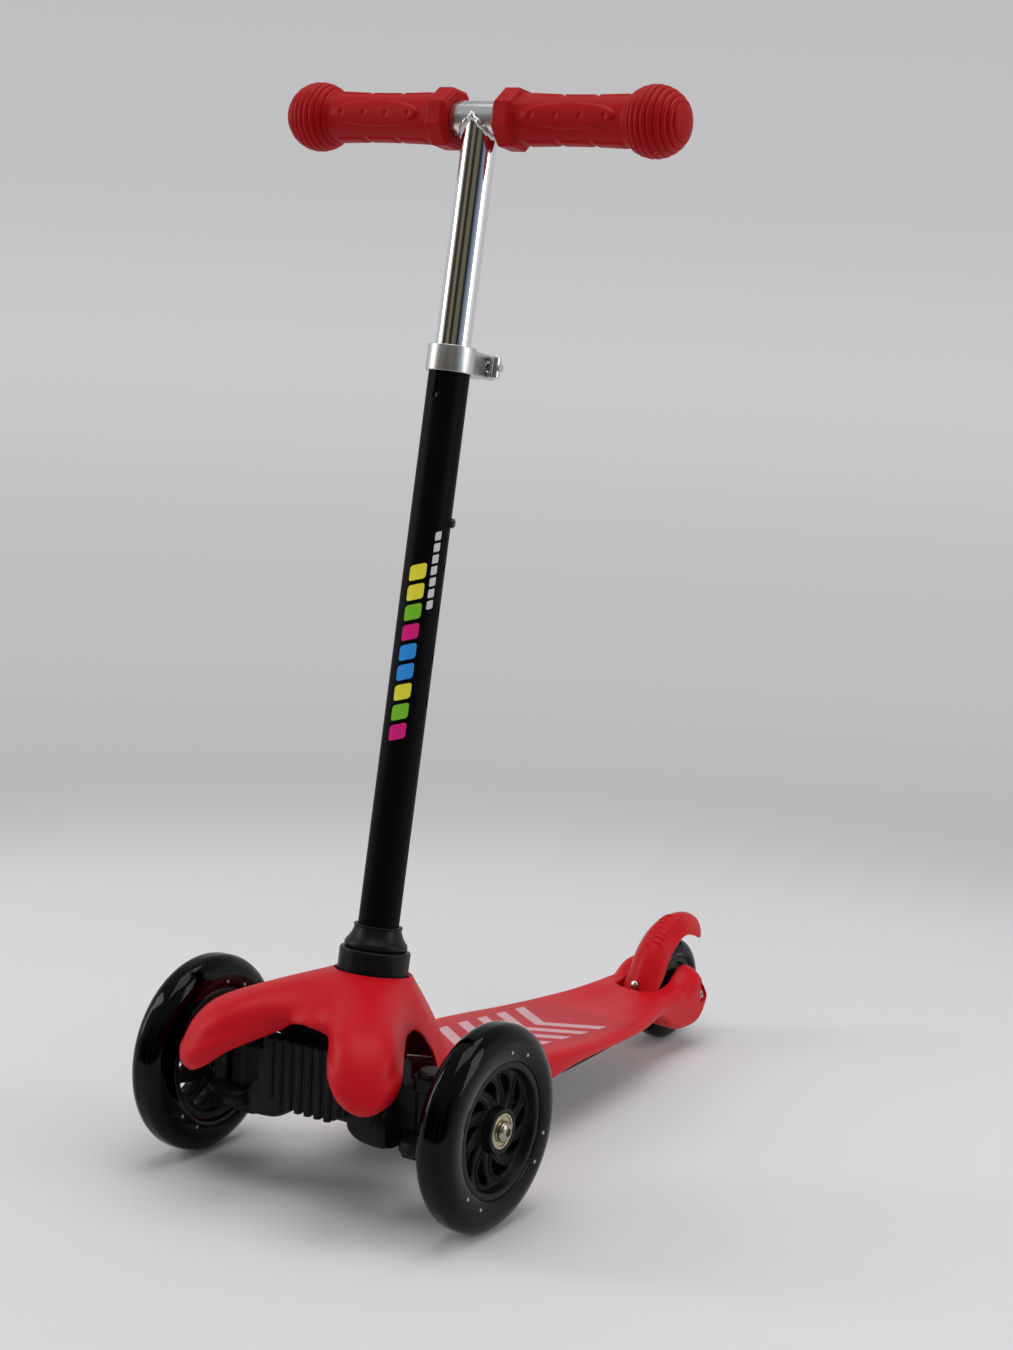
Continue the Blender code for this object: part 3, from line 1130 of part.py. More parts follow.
# Outline of the fork's cheek, back and up from the rear axle
LOBE_SHAPE = (
    (-0.0815, 0.0025), (-0.0635, 0.0100), (-0.0475, 0.0175), (-0.0335, 0.0237), (-0.0195, 0.0269),
    (-0.0095, 0.0250), (-0.0015, 0.0160), (0.0045, 0.0045), (0.0050, -0.0045), (0.0005, -0.0150),
    (-0.0085, -0.0200), (-0.0315, -0.0195), (-0.0455, -0.0140), (-0.0585, -0.0045), (-0.0735, 0.0010),
)


def lobe(side):
    """Side of the rear fork: a thick rounded cheek round the axle."""
    outline = [(WHEELBASE + back, REAR_WHEEL_R + up) for back, up in LOBE_SHAPE]
    low, high = sorted((side * (SLOT_HALF + 0.0002), side * LOBE_OUTER))
    return prism(outline, low, high, "X")


def deck():
    """Red moulded deck with a skirt, a waist and the rear fork in one piece."""
    stations = [DECK_FRONT + (DECK_BACK - DECK_FRONT) * k / (DECK_STATIONS - 1) for k in range(DECK_STATIONS)]
    made = piece("deck", lofted([deck_section(y) for y in stations]), RED_PLASTIC, chassis)
    for side, tag in ((1, "left"), (-1, "right")):
        cheek = guide("lobe_" + tag, lobe(side), chassis)
        bevel(cheek, LOBE_EDGE, 1, 50)
        join(made, cheek)
    slot = [(-SLOT_HALF, WHEELBASE + 0.03), (SLOT_HALF, WHEELBASE + 0.03)]
    centre = SLOT_FRONT + SLOT_HALF
    slot += [(SLOT_HALF * cos(-pi * k / 8), centre + SLOT_HALF * sin(-pi * k / 8)) for k in range(9)]
    slot = guide("wheel_slot", prism(slot, 0, 0.1), chassis)
    pin = guide("brake_pin_bore", moved(lay(rod(BRAKE_PIN_R + GAP, -0.024, 0.024, 12, True), "X"),
                                        y=BRAKE_PIN_Y, z=BRAKE_PIN_Z), chassis)
    axle = moved(lay(rod(AXLE_R + GAP, -0.04, 0.04, 12, True), "X"), y=WHEELBASE, z=REAR_WHEEL_R)
    cut(made, slot)
    for side, tag in ((1, "left"), (-1, "right")):
        low, high = sorted((side * (HUB_WIDTH / 2 + GAP), side * (SLOT_HALF + 0.002)))
        hub_boss = moved(lay(rod(AXLE_R + 0.0022, low, high, 12), "X"), y=WHEELBASE, z=REAR_WHEEL_R)
        join(made, guide("hub_boss_" + tag, hub_boss, chassis))
    cut(made, pin, guide("deck_axle_bore", axle, chassis))
    for side, tag in ((1, "left"), (-1, "right")):
        outline = [(WHEELBASE + RECESS_HALF_WIDTH * cos(pi * (k + 0.5) / 6),
                    REAR_WHEEL_R + RECESS_HALF_HEIGHT * sin(pi * (k + 0.5) / 6)) for k in range(12)]
        low, high = sorted((side * (LOBE_OUTER - RECESS_DEPTH), side * (LOBE_OUTER + 0.01)))
        cut(made, guide("axle_recess_" + tag, prism(outline, low, high, "X"), chassis))


deck()


def tray_low(y):
    """Height of the tray's underside, which rises a little towards the back."""
    return TRAY_LOW + TRAY_RISE * max(0.0, (y - TRAY_RISE_FROM) / (TRAY_BACK - TRAY_RISE_FROM))


def underframe():
    """Black ribbed tray under the deck, which ties the head casting to the deck."""
    step = FOOT_PLATE_BACK + 0.001
    run = TRAY_HEEL - step
    stations = [(TRAY_FRONT, 0.030), (TRAY_FRONT + 0.007, 0.0305), (TRAY_FRONT + 0.025, 0.036), (step, 0.0385),
                (step + 0.0005, 0.0385), (step + 0.15 * run, 0.0390), (step + 0.33 * run, 0.0390),
                (step + 0.51 * run, 0.0390), (step + 0.69 * run, 0.0380), (step + 0.87 * run, 0.0360),
                (TRAY_HEEL, 0.0310), (TRAY_HEEL + 0.0005, 0.0305), (TRAY_BACK, 0.0260)]
    rings = []
    for y, half in stations:
        high = FOOT_PLATE_LOW - GAP if y <= step else deck_size(y)[1] - DECK_SKIN - GAP
        if y > TRAY_HEEL:
            high = TRAY_HEEL_TOP
        foot = tray_low(y)
        right = [(half - 0.002, foot), (half, foot + 0.002), (half, high - 0.0035), (half - 0.0035, high)]
        rings.append([Vector((x, y, z)) for x, z in right + [(-x, z) for x, z in reversed(right)]])
    made = piece("deck_underframe", lofted(rings), BLACK_PLASTIC, chassis)
    pockets = bmesh.new()
    first = FOOT_PLATE_BACK + 0.016
    pitch = (TRAY_HEEL - 0.026 - first) / TRAY_POCKETS
    for k in range(TRAY_POCKETS):
        front = first + pitch * k
        for side in (-1, 1):
            low, high = sorted((side * TRAY_POCKET_WALL * 0.6, side * 0.031))
            added(pockets, box((low, front, TRAY_LOW - 0.01), (high, front + pitch - TRAY_POCKET_WALL, TRAY_POCKET_ROOF)))
    cut(made, guide("underframe_pockets", pockets, chassis))
    holes = bmesh.new()
    seats = bmesh.new()
    for y, end in ((DECK_SCREW_FRONT_Y, "front"), (DECK_SCREW_REAR_Y, "rear")):
        floor = tray_low(y)
        head_low = floor + SCREW_HEAD_SUNK
        head_high = head_low + SCREW_HEAD_HEIGHT
        tip = deck_size(y)[1] - DECK_SKIN + 0.0018
        for side, tag in ((1, "left"), (-1, "right")):
            x = side * DECK_SCREW_X
            added(holes, moved(spun([(0, floor - 0.01), (SCREW_HEAD_R + GAP, floor - 0.01),
                                     (SCREW_HEAD_R + GAP, head_high + GAP), (SCREW_R + GAP, head_high + GAP),
                                     (SCREW_R + GAP, tip + 0.01), (0, tip + 0.01)], 8, True), x, y))
            added(seats, moved(rod(SCREW_R + GAP, TRAY_LOW, tip + GAP, 8, True), x, y))
            screw = spun([(0, head_low), (SCREW_HEAD_R, head_low), (SCREW_HEAD_R, head_high), (SCREW_R, head_high),
                          (SCREW_R, tip), (0, tip)], 8)
            piece("deck_screw_%s_%s" % (end, tag), moved(screw, x, y), STEEL, chassis)
    cut(made, guide("underframe_holes", holes, chassis))
    cut(bpy.data.objects["deck"], guide("deck_screw_seats", seats, chassis))


underframe()


def fender_point(angle):
    """Middle of the fender's outer face at an angle about the rear axle, from the front over the top."""
    share = max(0.0, angle) / FENDER_TAIL_ANGLE
    radius = FENDER_NEAR_R + (FENDER_TAIL_R - FENDER_NEAR_R) * share**FENDER_GROWTH
    return radius


def fender():
    """Crowned strip over the rear wheel; the heel presses it down to brake."""
    start = radians(-14)
    steps = 10
    rings = []
    across = (-1.0, -0.55, 0.0, 0.55, 1.0)
    for k in range(steps + 1):
        angle = start + (FENDER_TAIL_ANGLE - start) * k / steps
        radius = fender_point(angle)
        tail = max(0.0, (angle - radians(112)) / (FENDER_TAIL_ANGLE - radians(112)))
        half = FENDER_HALF * sqrt(max(0.12, 1 - 0.75 * tail**3))
        sag = FENDER_SAG * (1 - 0.55 * tail)
        ring = []
        for share in across:
            r = radius - sag * share**2
            ring.append((share * half, r))
        for share in reversed(across):
            r = radius - FENDER_WALL - sag * share**2
            ring.append((share * half, r))
        rings.append([Vector((x, WHEELBASE - r * cos(angle), REAR_WHEEL_R + r * sin(angle))) for x, r in ring])
    pin = (0, BRAKE_PIN_Y, BRAKE_PIN_Z)
    made = piece("brake_fender", lofted(rings), RED_PLASTIC, chassis, pin)
    inner = FENDER_HALF - 0.0025
    for side, tag in ((1, "left"), (-1, "right")):
        low, high = sorted((side * BRAKE_SPRING_HALF, side * inner))
        barrel = moved(lay(rod(BRAKE_BARREL_R, low, high, 10), "X"), y=BRAKE_PIN_Y, z=BRAKE_PIN_Z)
        face = WHEELBASE - FENDER_NEAR_R + FENDER_SAG * (inner / FENDER_HALF) ** 2 + FENDER_WALL / 4
        foot = prism([(BRAKE_PIN_Y - 0.003, BRAKE_PIN_Z), (BRAKE_PIN_Y + 0.004, BRAKE_PIN_Z - 0.001),
                      (face, BRAKE_PIN_Z + 0.003), (face + 0.0008, BRAKE_PIN_Z + 0.008),
                      (face - 0.0015, BRAKE_PIN_Z + 0.009), (BRAKE_PIN_Y - 0.002, BRAKE_PIN_Z + 0.004)],
                     low, high, "X")
        join(made, guide("barrel_" + tag, barrel, chassis), guide("fender_foot_" + tag, foot, chassis))
    bore = moved(lay(rod(BRAKE_PIN_R + GAP, -0.03, 0.03, 12, True), "X"), y=BRAKE_PIN_Y, z=BRAKE_PIN_Z)
    cut(made, guide("fender_bore", bore, chassis))
    reach = SLOT_HALF + 0.0070
    pin = moved(lay(rod(BRAKE_PIN_R, -reach, reach, 12), "X"), y=BRAKE_PIN_Y, z=BRAKE_PIN_Z)
    piece("brake_pivot_pin", pin, STEEL, chassis)
    return made


def brake_spring():
    """Torsion spring on the brake pin; one leg pushes the slot's end wall, the other the fender's foot."""
    radius = BRAKE_SPRING_R
    half = BRAKE_SPRING_HALF - GAP - BRAKE_SPRING_WIRE_R
    wall_leg = (SLOT_FRONT + GAP + BRAKE_SPRING_WIRE_R - BRAKE_PIN_Y, radius)
    foot_angle = radians(-11)
    foot_leg = (WHEELBASE - fender_point(0) * cos(foot_angle) - GAP - BRAKE_SPRING_WIRE_R - BRAKE_PIN_Y,
                REAR_WHEEL_R + fender_point(0) * sin(foot_angle) - BRAKE_PIN_Z)
    leave = atan2(foot_leg[1], foot_leg[0]) + acos(radius / hypot(*foot_leg))
    sweep = 2 * pi * (BRAKE_SPRING_TURNS - 1) + pi / 2 - leave
    count = ceil(sweep / (2 * pi) * 8)
    points = [Vector((-half, BRAKE_PIN_Y + wall_leg[0], BRAKE_PIN_Z + wall_leg[1]))]
    for k in range(count + 1):
        angle = pi / 2 - sweep * k / count
        points.append(Vector((-half + 2 * half * k / count, BRAKE_PIN_Y + radius * cos(angle),
                              BRAKE_PIN_Z + radius * sin(angle))))
    print("brake spring least gap, mm:", round(1000 * least_gap(points[1:], BRAKE_SPRING_WIRE_R), 2))
    points.append(Vector((half, BRAKE_PIN_Y + foot_leg[0], BRAKE_PIN_Z + foot_leg[1])))
    wire("brake_spring", points, BRAKE_SPRING_WIRE_R, SPRING_STEEL, chassis)


def brake_rivet(strip):
    """Bright round-headed rivet low on the fender's face."""
    share = BRAKE_RIVET_X / FENDER_HALF
    lean = atan2(2 * FENDER_SAG * share, FENDER_HALF)
    radius = fender_point(BRAKE_RIVET_ANGLE) - FENDER_SAG * share**2
    low = -FENDER_WALL - 0.0008
    head = [(0, low), (BRAKE_RIVET_R * 0.45, low), (BRAKE_RIVET_R * 0.45, 0.0006), (BRAKE_RIVET_R, 0.0006),
            (BRAKE_RIVET_R * 0.8, 0.0015), (BRAKE_RIVET_R * 0.4, 0.0021), (0, 0.0021)]

    def placed(bm):
        turned(bm, lean, "Y")
        turned(bm, pi / 2 - BRAKE_RIVET_ANGLE, "X")
        return moved(bm, BRAKE_RIVET_X, WHEELBASE - radius * cos(BRAKE_RIVET_ANGLE),
                     REAR_WHEEL_R + radius * sin(BRAKE_RIVET_ANGLE))

    hole = rod(BRAKE_RIVET_R * 0.45 + GAP, -0.01, 0.01, 10, True)
    cut(strip, guide("rivet_hole", placed(hole), chassis))
    piece("brake_rivet", placed(spun(head, 10)), STEEL, chassis)


strip = fender()
brake_spring()
brake_rivet(strip)

# The origin is under the middle, between the front of the cover's wings and the fender's tail
wing_front = max(FRONT_WHEEL_R, -min(vertex.co.y for vertex in cover.data.vertices))
tail_back = WHEELBASE - FENDER_TAIL_R * cos(FENDER_TAIL_ANGLE)
chassis.location.y = (wing_front - tail_back) / 2
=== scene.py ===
"""Looks of a child's three-wheel kick scooter: red mouldings, a black tube and smoky wheels.

Metres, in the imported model's frame: +Z up, the rider faces -Y and the rider's left is +X.
"""

from math import acos, asin, atan2, copysign, cos, hypot, pi, radians, sin, sqrt, tan

import bmesh
import bpy
from mathutils import Matrix, Vector


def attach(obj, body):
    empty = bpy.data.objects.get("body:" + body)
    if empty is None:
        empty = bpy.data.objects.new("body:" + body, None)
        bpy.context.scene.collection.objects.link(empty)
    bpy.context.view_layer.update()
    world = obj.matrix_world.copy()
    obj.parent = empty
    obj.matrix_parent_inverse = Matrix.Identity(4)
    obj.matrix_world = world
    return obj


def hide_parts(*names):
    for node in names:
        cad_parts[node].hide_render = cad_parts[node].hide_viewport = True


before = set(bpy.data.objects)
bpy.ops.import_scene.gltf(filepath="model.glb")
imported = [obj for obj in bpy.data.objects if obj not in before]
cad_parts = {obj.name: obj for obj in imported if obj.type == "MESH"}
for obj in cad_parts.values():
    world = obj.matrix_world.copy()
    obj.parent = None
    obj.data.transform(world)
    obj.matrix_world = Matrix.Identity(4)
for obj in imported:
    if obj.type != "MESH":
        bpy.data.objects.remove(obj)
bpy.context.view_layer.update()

# Camera. It stands where the photograph was taken, ahead of the scooter and to the rider's left, a
# little below the grips, with a short telephoto lens that is tipped slightly down and to one side.
camera_place = Vector((0.8579, -1.370155, 0.5592))
camera_yaw, camera_tip, camera_roll = radians(32.56), radians(9.26), radians(2.96)

ahead = Vector((-sin(camera_yaw) * cos(camera_tip), cos(camera_yaw) * cos(camera_tip), -sin(camera_tip)))
level = Vector((cos(camera_yaw), sin(camera_yaw), 0))
upright = level.cross(ahead)
to_right = level * cos(camera_roll) + upright * sin(camera_roll)
to_top = upright * cos(camera_roll) - level * sin(camera_roll)
camera = bpy.data.objects.new("camera", bpy.data.cameras.new("camera"))
bpy.context.scene.collection.objects.link(camera)
camera.data.lens = 66.51
camera.data.sensor_width = 36
camera.data.clip_start = 0.05
camera_turn = Matrix((to_right, to_top, -ahead)).transposed().to_4x4()
camera.matrix_world = Matrix.Translation(camera_place) @ camera_turn
bpy.context.scene.camera = camera

# Studio. A pale paper floor fades into a grey wall that is far behind it; two large soft boxes and
# a top light shine on the scooter, and the room behind the camera stays dim.
FLOOR_RADIUS, FLOOR_Z, FLOOR_FADE = 1.2, -0.0004, (0.60, 1.15)
FLOOR_COLOUR = (0.78, 0.78, 0.79)
WALL_COLOUR, CEILING_COLOUR = (0.565, 0.56, 0.57), (0.34, 0.34, 0.35)
# The paper backdrop as the camera sees it, by the slope of the view: far floor, foot of the wall, wall, top
BACKDROP_RISE = (
    (-0.35, (0.69, 0.69, 0.70)), (-0.262, (0.67, 0.67, 0.68)), (-0.232, (0.475, 0.472, 0.475)),
    (-0.14, (0.52, 0.515, 0.52)), (-0.04, (0.585, 0.582, 0.590)), (0.05, (0.53, 0.53, 0.54)),
    (0.25, (0.45, 0.45, 0.46)),
)
# What bright metal mirrors, as it goes round from behind the scooter, by the left of the camera (-) to
# its right (+): turn in degrees and colour
ROOM_ROUND = (
    (-104, WALL_COLOUR), (-92, (0.80, 0.80, 0.80)), (-78, (0.60, 0.58, 0.54)),
    (-70, (0.045, 0.038, 0.028)), (-52, (0.05, 0.042, 0.03)), (-44, (0.20, 0.17, 0.11)),
    (-34, (0.18, 0.155, 0.10)), (-28, (0.02, 0.018, 0.016)), (-14, (0.03, 0.027, 0.02)),
    (-8, (0.15, 0.135, 0.085)), (12, (0.13, 0.12, 0.08)), (18, (0.012, 0.014, 0.022)),
    (26, (0.02, 0.024, 0.036)), (36, (0.14, 0.175, 0.235)), (64, (0.42, 0.47, 0.54)),
    (80, (0.80, 0.80, 0.80)), (98, (0.78, 0.78, 0.78)), (110, WALL_COLOUR),
)


def node_in(tree, kind, **values):
    """A shader node with its inputs set by name."""
    made = tree.nodes.new(kind)
    for key, value in values.items():
        made.inputs[key.replace("_", " ")].default_value = value
    return made


def mixed(tree, share, first, second):
    """Two colours, each a triple or a socket, blended by a socket."""
    made = tree.nodes.new("ShaderNodeMix")
    made.data_type = "RGBA"
    for number, value in ((0, share), (6, first), (7, second)):
        if isinstance(value, tuple):
            made.inputs[number].default_value = (*value, 1)
        else:
            tree.links.new(value, made.inputs[number])
    return made


def either(tree, share, first, second):
    """Two shaders blended by a socket."""
    made = tree.nodes.new("ShaderNodeMixShader")
    for socket, source in zip(made.inputs, (share, first, second)):
        tree.links.new(source, socket)
    return made.outputs[0]


def ramp(tree, share, rows, low, high):
    """Colours at places from low to high, read by a socket that goes from 0 to 1."""
    made = tree.nodes.new("ShaderNodeValToRGB")
    stops = made.color_ramp.elements
    for stop, (place, colour) in zip((stops[0], stops[1]), (rows[0], rows[-1])):
        stop.position, stop.color = (place - low) / (high - low), (*colour, 1)
    for place, colour in rows[1:-1]:
        stops.new((place - low) / (high - low)).color = (*colour, 1)
    tree.links.new(share, made.inputs["Fac"])
    return made


def new_look(name):
    """A new material, its nodes and its main shader."""
    made = bpy.data.materials.new(name)
    made.use_nodes = True
    return made, made.node_tree, made.node_tree.nodes["Principled BSDF"]


def paper_floor():
    """A round sheet of paper under the wheels; its rim fades out in front of the wall."""
    mesh = bpy.data.meshes.new("studio_floor")
    bm = bmesh.new()
    rings, sides = 24, 96
    middle = bm.verts.new((0, 0, FLOOR_Z))
    rows = []
    for k in range(rings):
        radius = FLOOR_RADIUS * (k + 1) / rings
        turns = (2 * pi * a / sides for a in range(sides))
        rows.append([bm.verts.new((radius * cos(turn), radius * sin(turn), FLOOR_Z)) for turn in turns])
    for a in range(sides):
        after = (a + 1) % sides
        bm.faces.new((middle, rows[0][a], rows[0][after]))
        for k in range(rings - 1):
            bm.faces.new((rows[k][a], rows[k + 1][a], rows[k + 1][after], rows[k][after]))
    bm.to_mesh(mesh)
    bm.free()
    floor = bpy.data.objects.new("studio_floor", mesh)
    bpy.context.scene.collection.objects.link(floor)
    paper, tree, shader = new_look("studio_paper")
    shader.inputs["Roughness"].default_value = 0.75
    shader.inputs["Specular IOR Level"].default_value = 0.2
    place = tree.nodes.new("ShaderNodeTexCoord")
    fibres = node_in(tree, "ShaderNodeTexNoise", Scale=3.0, Detail=3.0)
    tree.links.new(place.outputs["Object"], fibres.inputs["Vector"])
    darker, paler = (tuple(c * change for c in FLOOR_COLOUR) for change in (0.985, 1.015))
    tint = mixed(tree, fibres.outputs["Fac"], darker, paler)
    tree.links.new(tint.outputs[2], shader.inputs["Base Color"])
    far = tree.nodes.new("ShaderNodeVectorMath")
    far.operation = "LENGTH"
    tree.links.new(place.outputs["Object"], far.inputs[0])
    fade = node_in(tree, "ShaderNodeMapRange", From_Min=FLOOR_FADE[0], From_Max=FLOOR_FADE[1])
    fade.interpolation_type = "SMOOTHSTEP"
    tree.links.new(far.outputs["Value"], fade.inputs["Value"])
    clear = tree.nodes.new("ShaderNodeBsdfTransparent")
    surface = either(tree, fade.outputs["Result"], shader.outputs[0], clear.outputs[0])
    tree.links.new(surface, tree.nodes["Material Output"].inputs["Surface"])
    mesh.materials.append(paper)


def studio_wall():
    """The backdrop that the camera sees, the room that metal mirrors, and the light from all round."""
    world = bpy.data.worlds.new("studio_wall")
    bpy.context.scene.world = world
    world.use_nodes = True
    tree = world.node_tree
    tree.nodes.clear()
    out = tree.nodes.new("ShaderNodeOutputWorld")
    seen = node_in(tree, "ShaderNodeBackground", Strength=1.0)
    lit = node_in(tree, "ShaderNodeBackground", Color=(0.62, 0.62, 0.63, 1), Strength=0.62)
    room = node_in(tree, "ShaderNodeBackground", Strength=1.0)
    where = tree.nodes.new("ShaderNodeTexCoord")
    sideways, toward = tree.nodes.new("ShaderNodeVectorMath"), tree.nodes.new("ShaderNodeVectorMath")
    for step, way in ((sideways, level), (toward, Vector((sin(camera_yaw), -cos(camera_yaw), 0)))):
        step.operation = "DOT_PRODUCT"
        step.inputs[1].default_value = way
        tree.links.new(where.outputs["Generated"], step.inputs[0])
    turn = tree.nodes.new("ShaderNodeMath")
    turn.operation = "ARCTAN2"
    tree.links.new(sideways.outputs["Value"], turn.inputs[0])
    tree.links.new(toward.outputs["Value"], turn.inputs[1])
    share = node_in(tree, "ShaderNodeMapRange", From_Min=-pi, From_Max=pi)
    tree.links.new(turn.outputs[0], share.inputs["Value"])
    walls = ramp(tree, share.outputs["Result"], ROOM_ROUND, -180, 180)
    split = tree.nodes.new("ShaderNodeSeparateXYZ")
    tree.links.new(where.outputs["Generated"], split.inputs[0])
    height = node_in(tree, "ShaderNodeMapRange", From_Min=0.30, From_Max=0.65)
    tree.links.new(split.outputs["Z"], height.inputs["Value"])
    ceiling = mixed(tree, height.outputs["Result"], walls.outputs["Color"], CEILING_COLOUR)
    tree.links.new(ceiling.outputs[2], room.inputs["Color"])
    low, high = BACKDROP_RISE[0][0], BACKDROP_RISE[-1][0]
    rise = node_in(tree, "ShaderNodeMapRange", From_Min=low, From_Max=high)
    tree.links.new(split.outputs["Z"], rise.inputs["Value"])
    backdrop = ramp(tree, rise.outputs["Result"], BACKDROP_RISE, low, high)
    backdrop.color_ramp.interpolation = "EASE"
    tree.links.new(backdrop.outputs["Color"], seen.inputs["Color"])
    path = tree.nodes.new("ShaderNodeLightPath")
    direct = tree.nodes.new("ShaderNodeMath")
    direct.operation = "MAXIMUM"
    tree.links.new(path.outputs["Is Camera Ray"], direct.inputs[0])
    tree.links.new(path.outputs["Is Transmission Ray"], direct.inputs[1])
    unseen = either(tree, path.outputs["Is Glossy Ray"], lit.outputs[0], room.outputs[0])
    tree.links.new(either(tree, direct.outputs[0], unseen, seen.outputs[0]), out.inputs["Surface"])


def soft_box(name, place, aim, wide, high, watts):
    """A lamp with a large flat face that is turned towards a point."""
    lamp = bpy.data.lights.new(name, "AREA")
    lamp.shape = "RECTANGLE"
    lamp.size, lamp.size_y = wide, high
    lamp.energy = watts
    made = bpy.data.objects.new(name, lamp)
    bpy.context.scene.collection.objects.link(made)
    place, aim = Vector(place), Vector(aim)
    facing = (aim - place).to_track_quat("-Z", "Y").to_matrix().to_4x4()
    made.matrix_world = Matrix.Translation(place) @ facing


paper_floor()
studio_wall()
soft_box("top_light", (0.1, -0.1, 2.1), (0, 0, 0.2), 1.5, 1.5, 17)
soft_box("left_light", (-1.5, -0.9, 1.0), (0, 0, 0.3), 0.5, 1.3, 9)
soft_box("right_light", (1.6, 0.35, 0.9), (0, 0, 0.3), 0.6, 1.3, 7)
bpy.context.scene.view_settings.view_transform = "Standard"

# Tray and its four screws. The tray is a black nylon moulding with rows of pockets, screwed up into
# the deck from below; its skin is a fine matt spark texture.


def shade(name, colour, roughness, metallic=0.0, drift=0.06, drift_size=0.03, gloss_drift=0.08,
          grain=0.0, grain_size=0.0006, stretch=(1, 1, 1), shine=0.15):
    """A finish whose colour and gloss drift a little and whose skin has a fine grain, in real sizes."""
    made, tree, shader = new_look(name)
    shader.inputs["Metallic"].default_value = metallic
    shader.inputs["Specular IOR Level"].default_value = 0.5 if metallic else shine
    place = tree.nodes.new("ShaderNodeTexCoord")
    spread = tree.nodes.new("ShaderNodeMapping")
    spread.inputs["Scale"].default_value = stretch
    tree.links.new(place.outputs["Object"], spread.inputs["Vector"])
    cloud = node_in(tree, "ShaderNodeTexNoise", Scale=1 / drift_size, Detail=4.0, Roughness=0.6)
    tree.links.new(spread.outputs["Vector"], cloud.inputs["Vector"])
    darker, paler = (tuple(c * change for c in colour) for change in (1 - drift, 1 + drift))
    tint = mixed(tree, cloud.outputs["Fac"], darker, paler)
    tint.name = "tint"
    tree.links.new(tint.outputs[2], shader.inputs["Base Color"])
    gloss = node_in(tree, "ShaderNodeMapRange", To_Min=max(0.0, roughness - gloss_drift / 2),
                    To_Max=roughness + gloss_drift / 2)
    tree.links.new(cloud.outputs["Fac"], gloss.inputs["Value"])
    tree.links.new(gloss.outputs["Result"], shader.inputs["Roughness"])
    if grain:
        speckle = node_in(tree, "ShaderNodeTexNoise", Scale=1 / grain_size, Detail=2.0)
        tree.links.new(spread.outputs["Vector"], speckle.inputs["Vector"])
        bump = node_in(tree, "ShaderNodeBump", Strength=1.0, Distance=grain)
        tree.links.new(speckle.outputs["Fac"], bump.inputs["Height"])
        tree.links.new(bump.outputs["Normal"], shader.inputs["Normal"])
    return made


def dress(look, *nodes):
    """Give CAD nodes that stay as they are their finish."""
    for name in nodes:
        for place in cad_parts[name].material_slots:
            place.material = look


tray_nylon = shade("tray_nylon", (0.009, 0.009, 0.010), 0.48, grain=0.00006, grain_size=0.0007)
zinc_screw = shade("zinc_screw", (0.58, 0.57, 0.55), 0.32, metallic=1.0, drift=0.12, drift_size=0.004,
                   grain=0.00001, grain_size=0.0003)
dress(tray_nylon, "deck_underframe")
dress(zinc_screw, "deck_screw_front_left", "deck_screw_front_right", "deck_screw_rear_left",
      "deck_screw_rear_right")

# Deck. One red moulding: a shallow channel with rounded edges, a waist, and a fork of two thick
# cheeks that hold the rear axle. The standing area has a raised texture and a pale printed pattern.
AXLE_Y = -0.189655
REAR_AXLE_Y, REAR_AXLE_Z = 0.213845, 0.0375
DECK_FRONT_Y, DECK_BACK_Y = AXLE_Y + 0.054, REAR_AXLE_Y - 0.0555
DECK_WALL = 0.0045
# Share of the way along, half width, top and skirt's lower edge
DECK_SHAPE = (
    (0.000, 0.0370, 0.0565, 0.0340), (0.071, 0.0440, 0.0565, 0.0315), (0.156, 0.0500, 0.0568, 0.0300),
    (0.258, 0.0540, 0.0572, 0.0330), (0.347, 0.0555, 0.0562, 0.0385), (0.429, 0.0560, 0.0545, 0.0420),
    (0.531, 0.0550, 0.0517, 0.0425), (0.650, 0.0520, 0.0485, 0.0405), (0.769, 0.0480, 0.0462, 0.0385),
    (0.854, 0.0440, 0.0452, 0.0375), (0.939, 0.0360, 0.0456, 0.0375), (1.000, 0.0310, 0.0480, 0.0380),
)
# From the rear axle: way back, half width, top in the middle, top along the sides and lower edge
FORK_SHAPE = (
    (-0.1234, 0.0480, 0.0462, 0.0462, 0.0385), (-0.1100, 0.0461, 0.0456, 0.0458, 0.0380),
    (-0.0984, 0.0440, 0.0452, 0.0457, 0.0375), (-0.0850, 0.0408, 0.0452, 0.0460, 0.0372),
    (-0.0734, 0.0380, 0.0455, 0.0466, 0.0370), (-0.0640, 0.0360, 0.0458, 0.0472, 0.0355),
    (-0.0555, 0.0348, 0.0460, 0.0476, 0.0305), (-0.0455, 0.0340, 0.0460, 0.0478, 0.0235),
    (-0.0380, 0.0337, 0.0462, 0.0479, 0.0205), (-0.0315, 0.0336, 0.0465, 0.0484, 0.0182),
    (-0.0253, 0.0335, 0.0480, 0.0506, 0.0176), (-0.0195, 0.0335, 0.0480, 0.0548, 0.0172),
    (-0.0140, 0.0335, 0.0480, 0.0581, 0.0173), (-0.0085, 0.0335, 0.0480, 0.0597, 0.0178),
    (-0.0035, 0.0335, 0.0480, 0.0592, 0.0195), (0.0020, 0.0335, 0.0480, 0.0548, 0.0245),
    (0.0055, 0.0335, 0.0470, 0.0470, 0.0310), (0.0068, 0.0333, 0.0420, 0.0405, 0.0350),
)
SLOT_HALF, SLOT_FRONT_Y, SLOT_MOUTH_Y = 0.0165, REAR_AXLE_Y - 0.0585, REAR_AXLE_Y - 0.0468
POCKET_TOP_Z, HOLLOW_BACK_Y = 0.0438, REAR_AXLE_Y - 0.0690
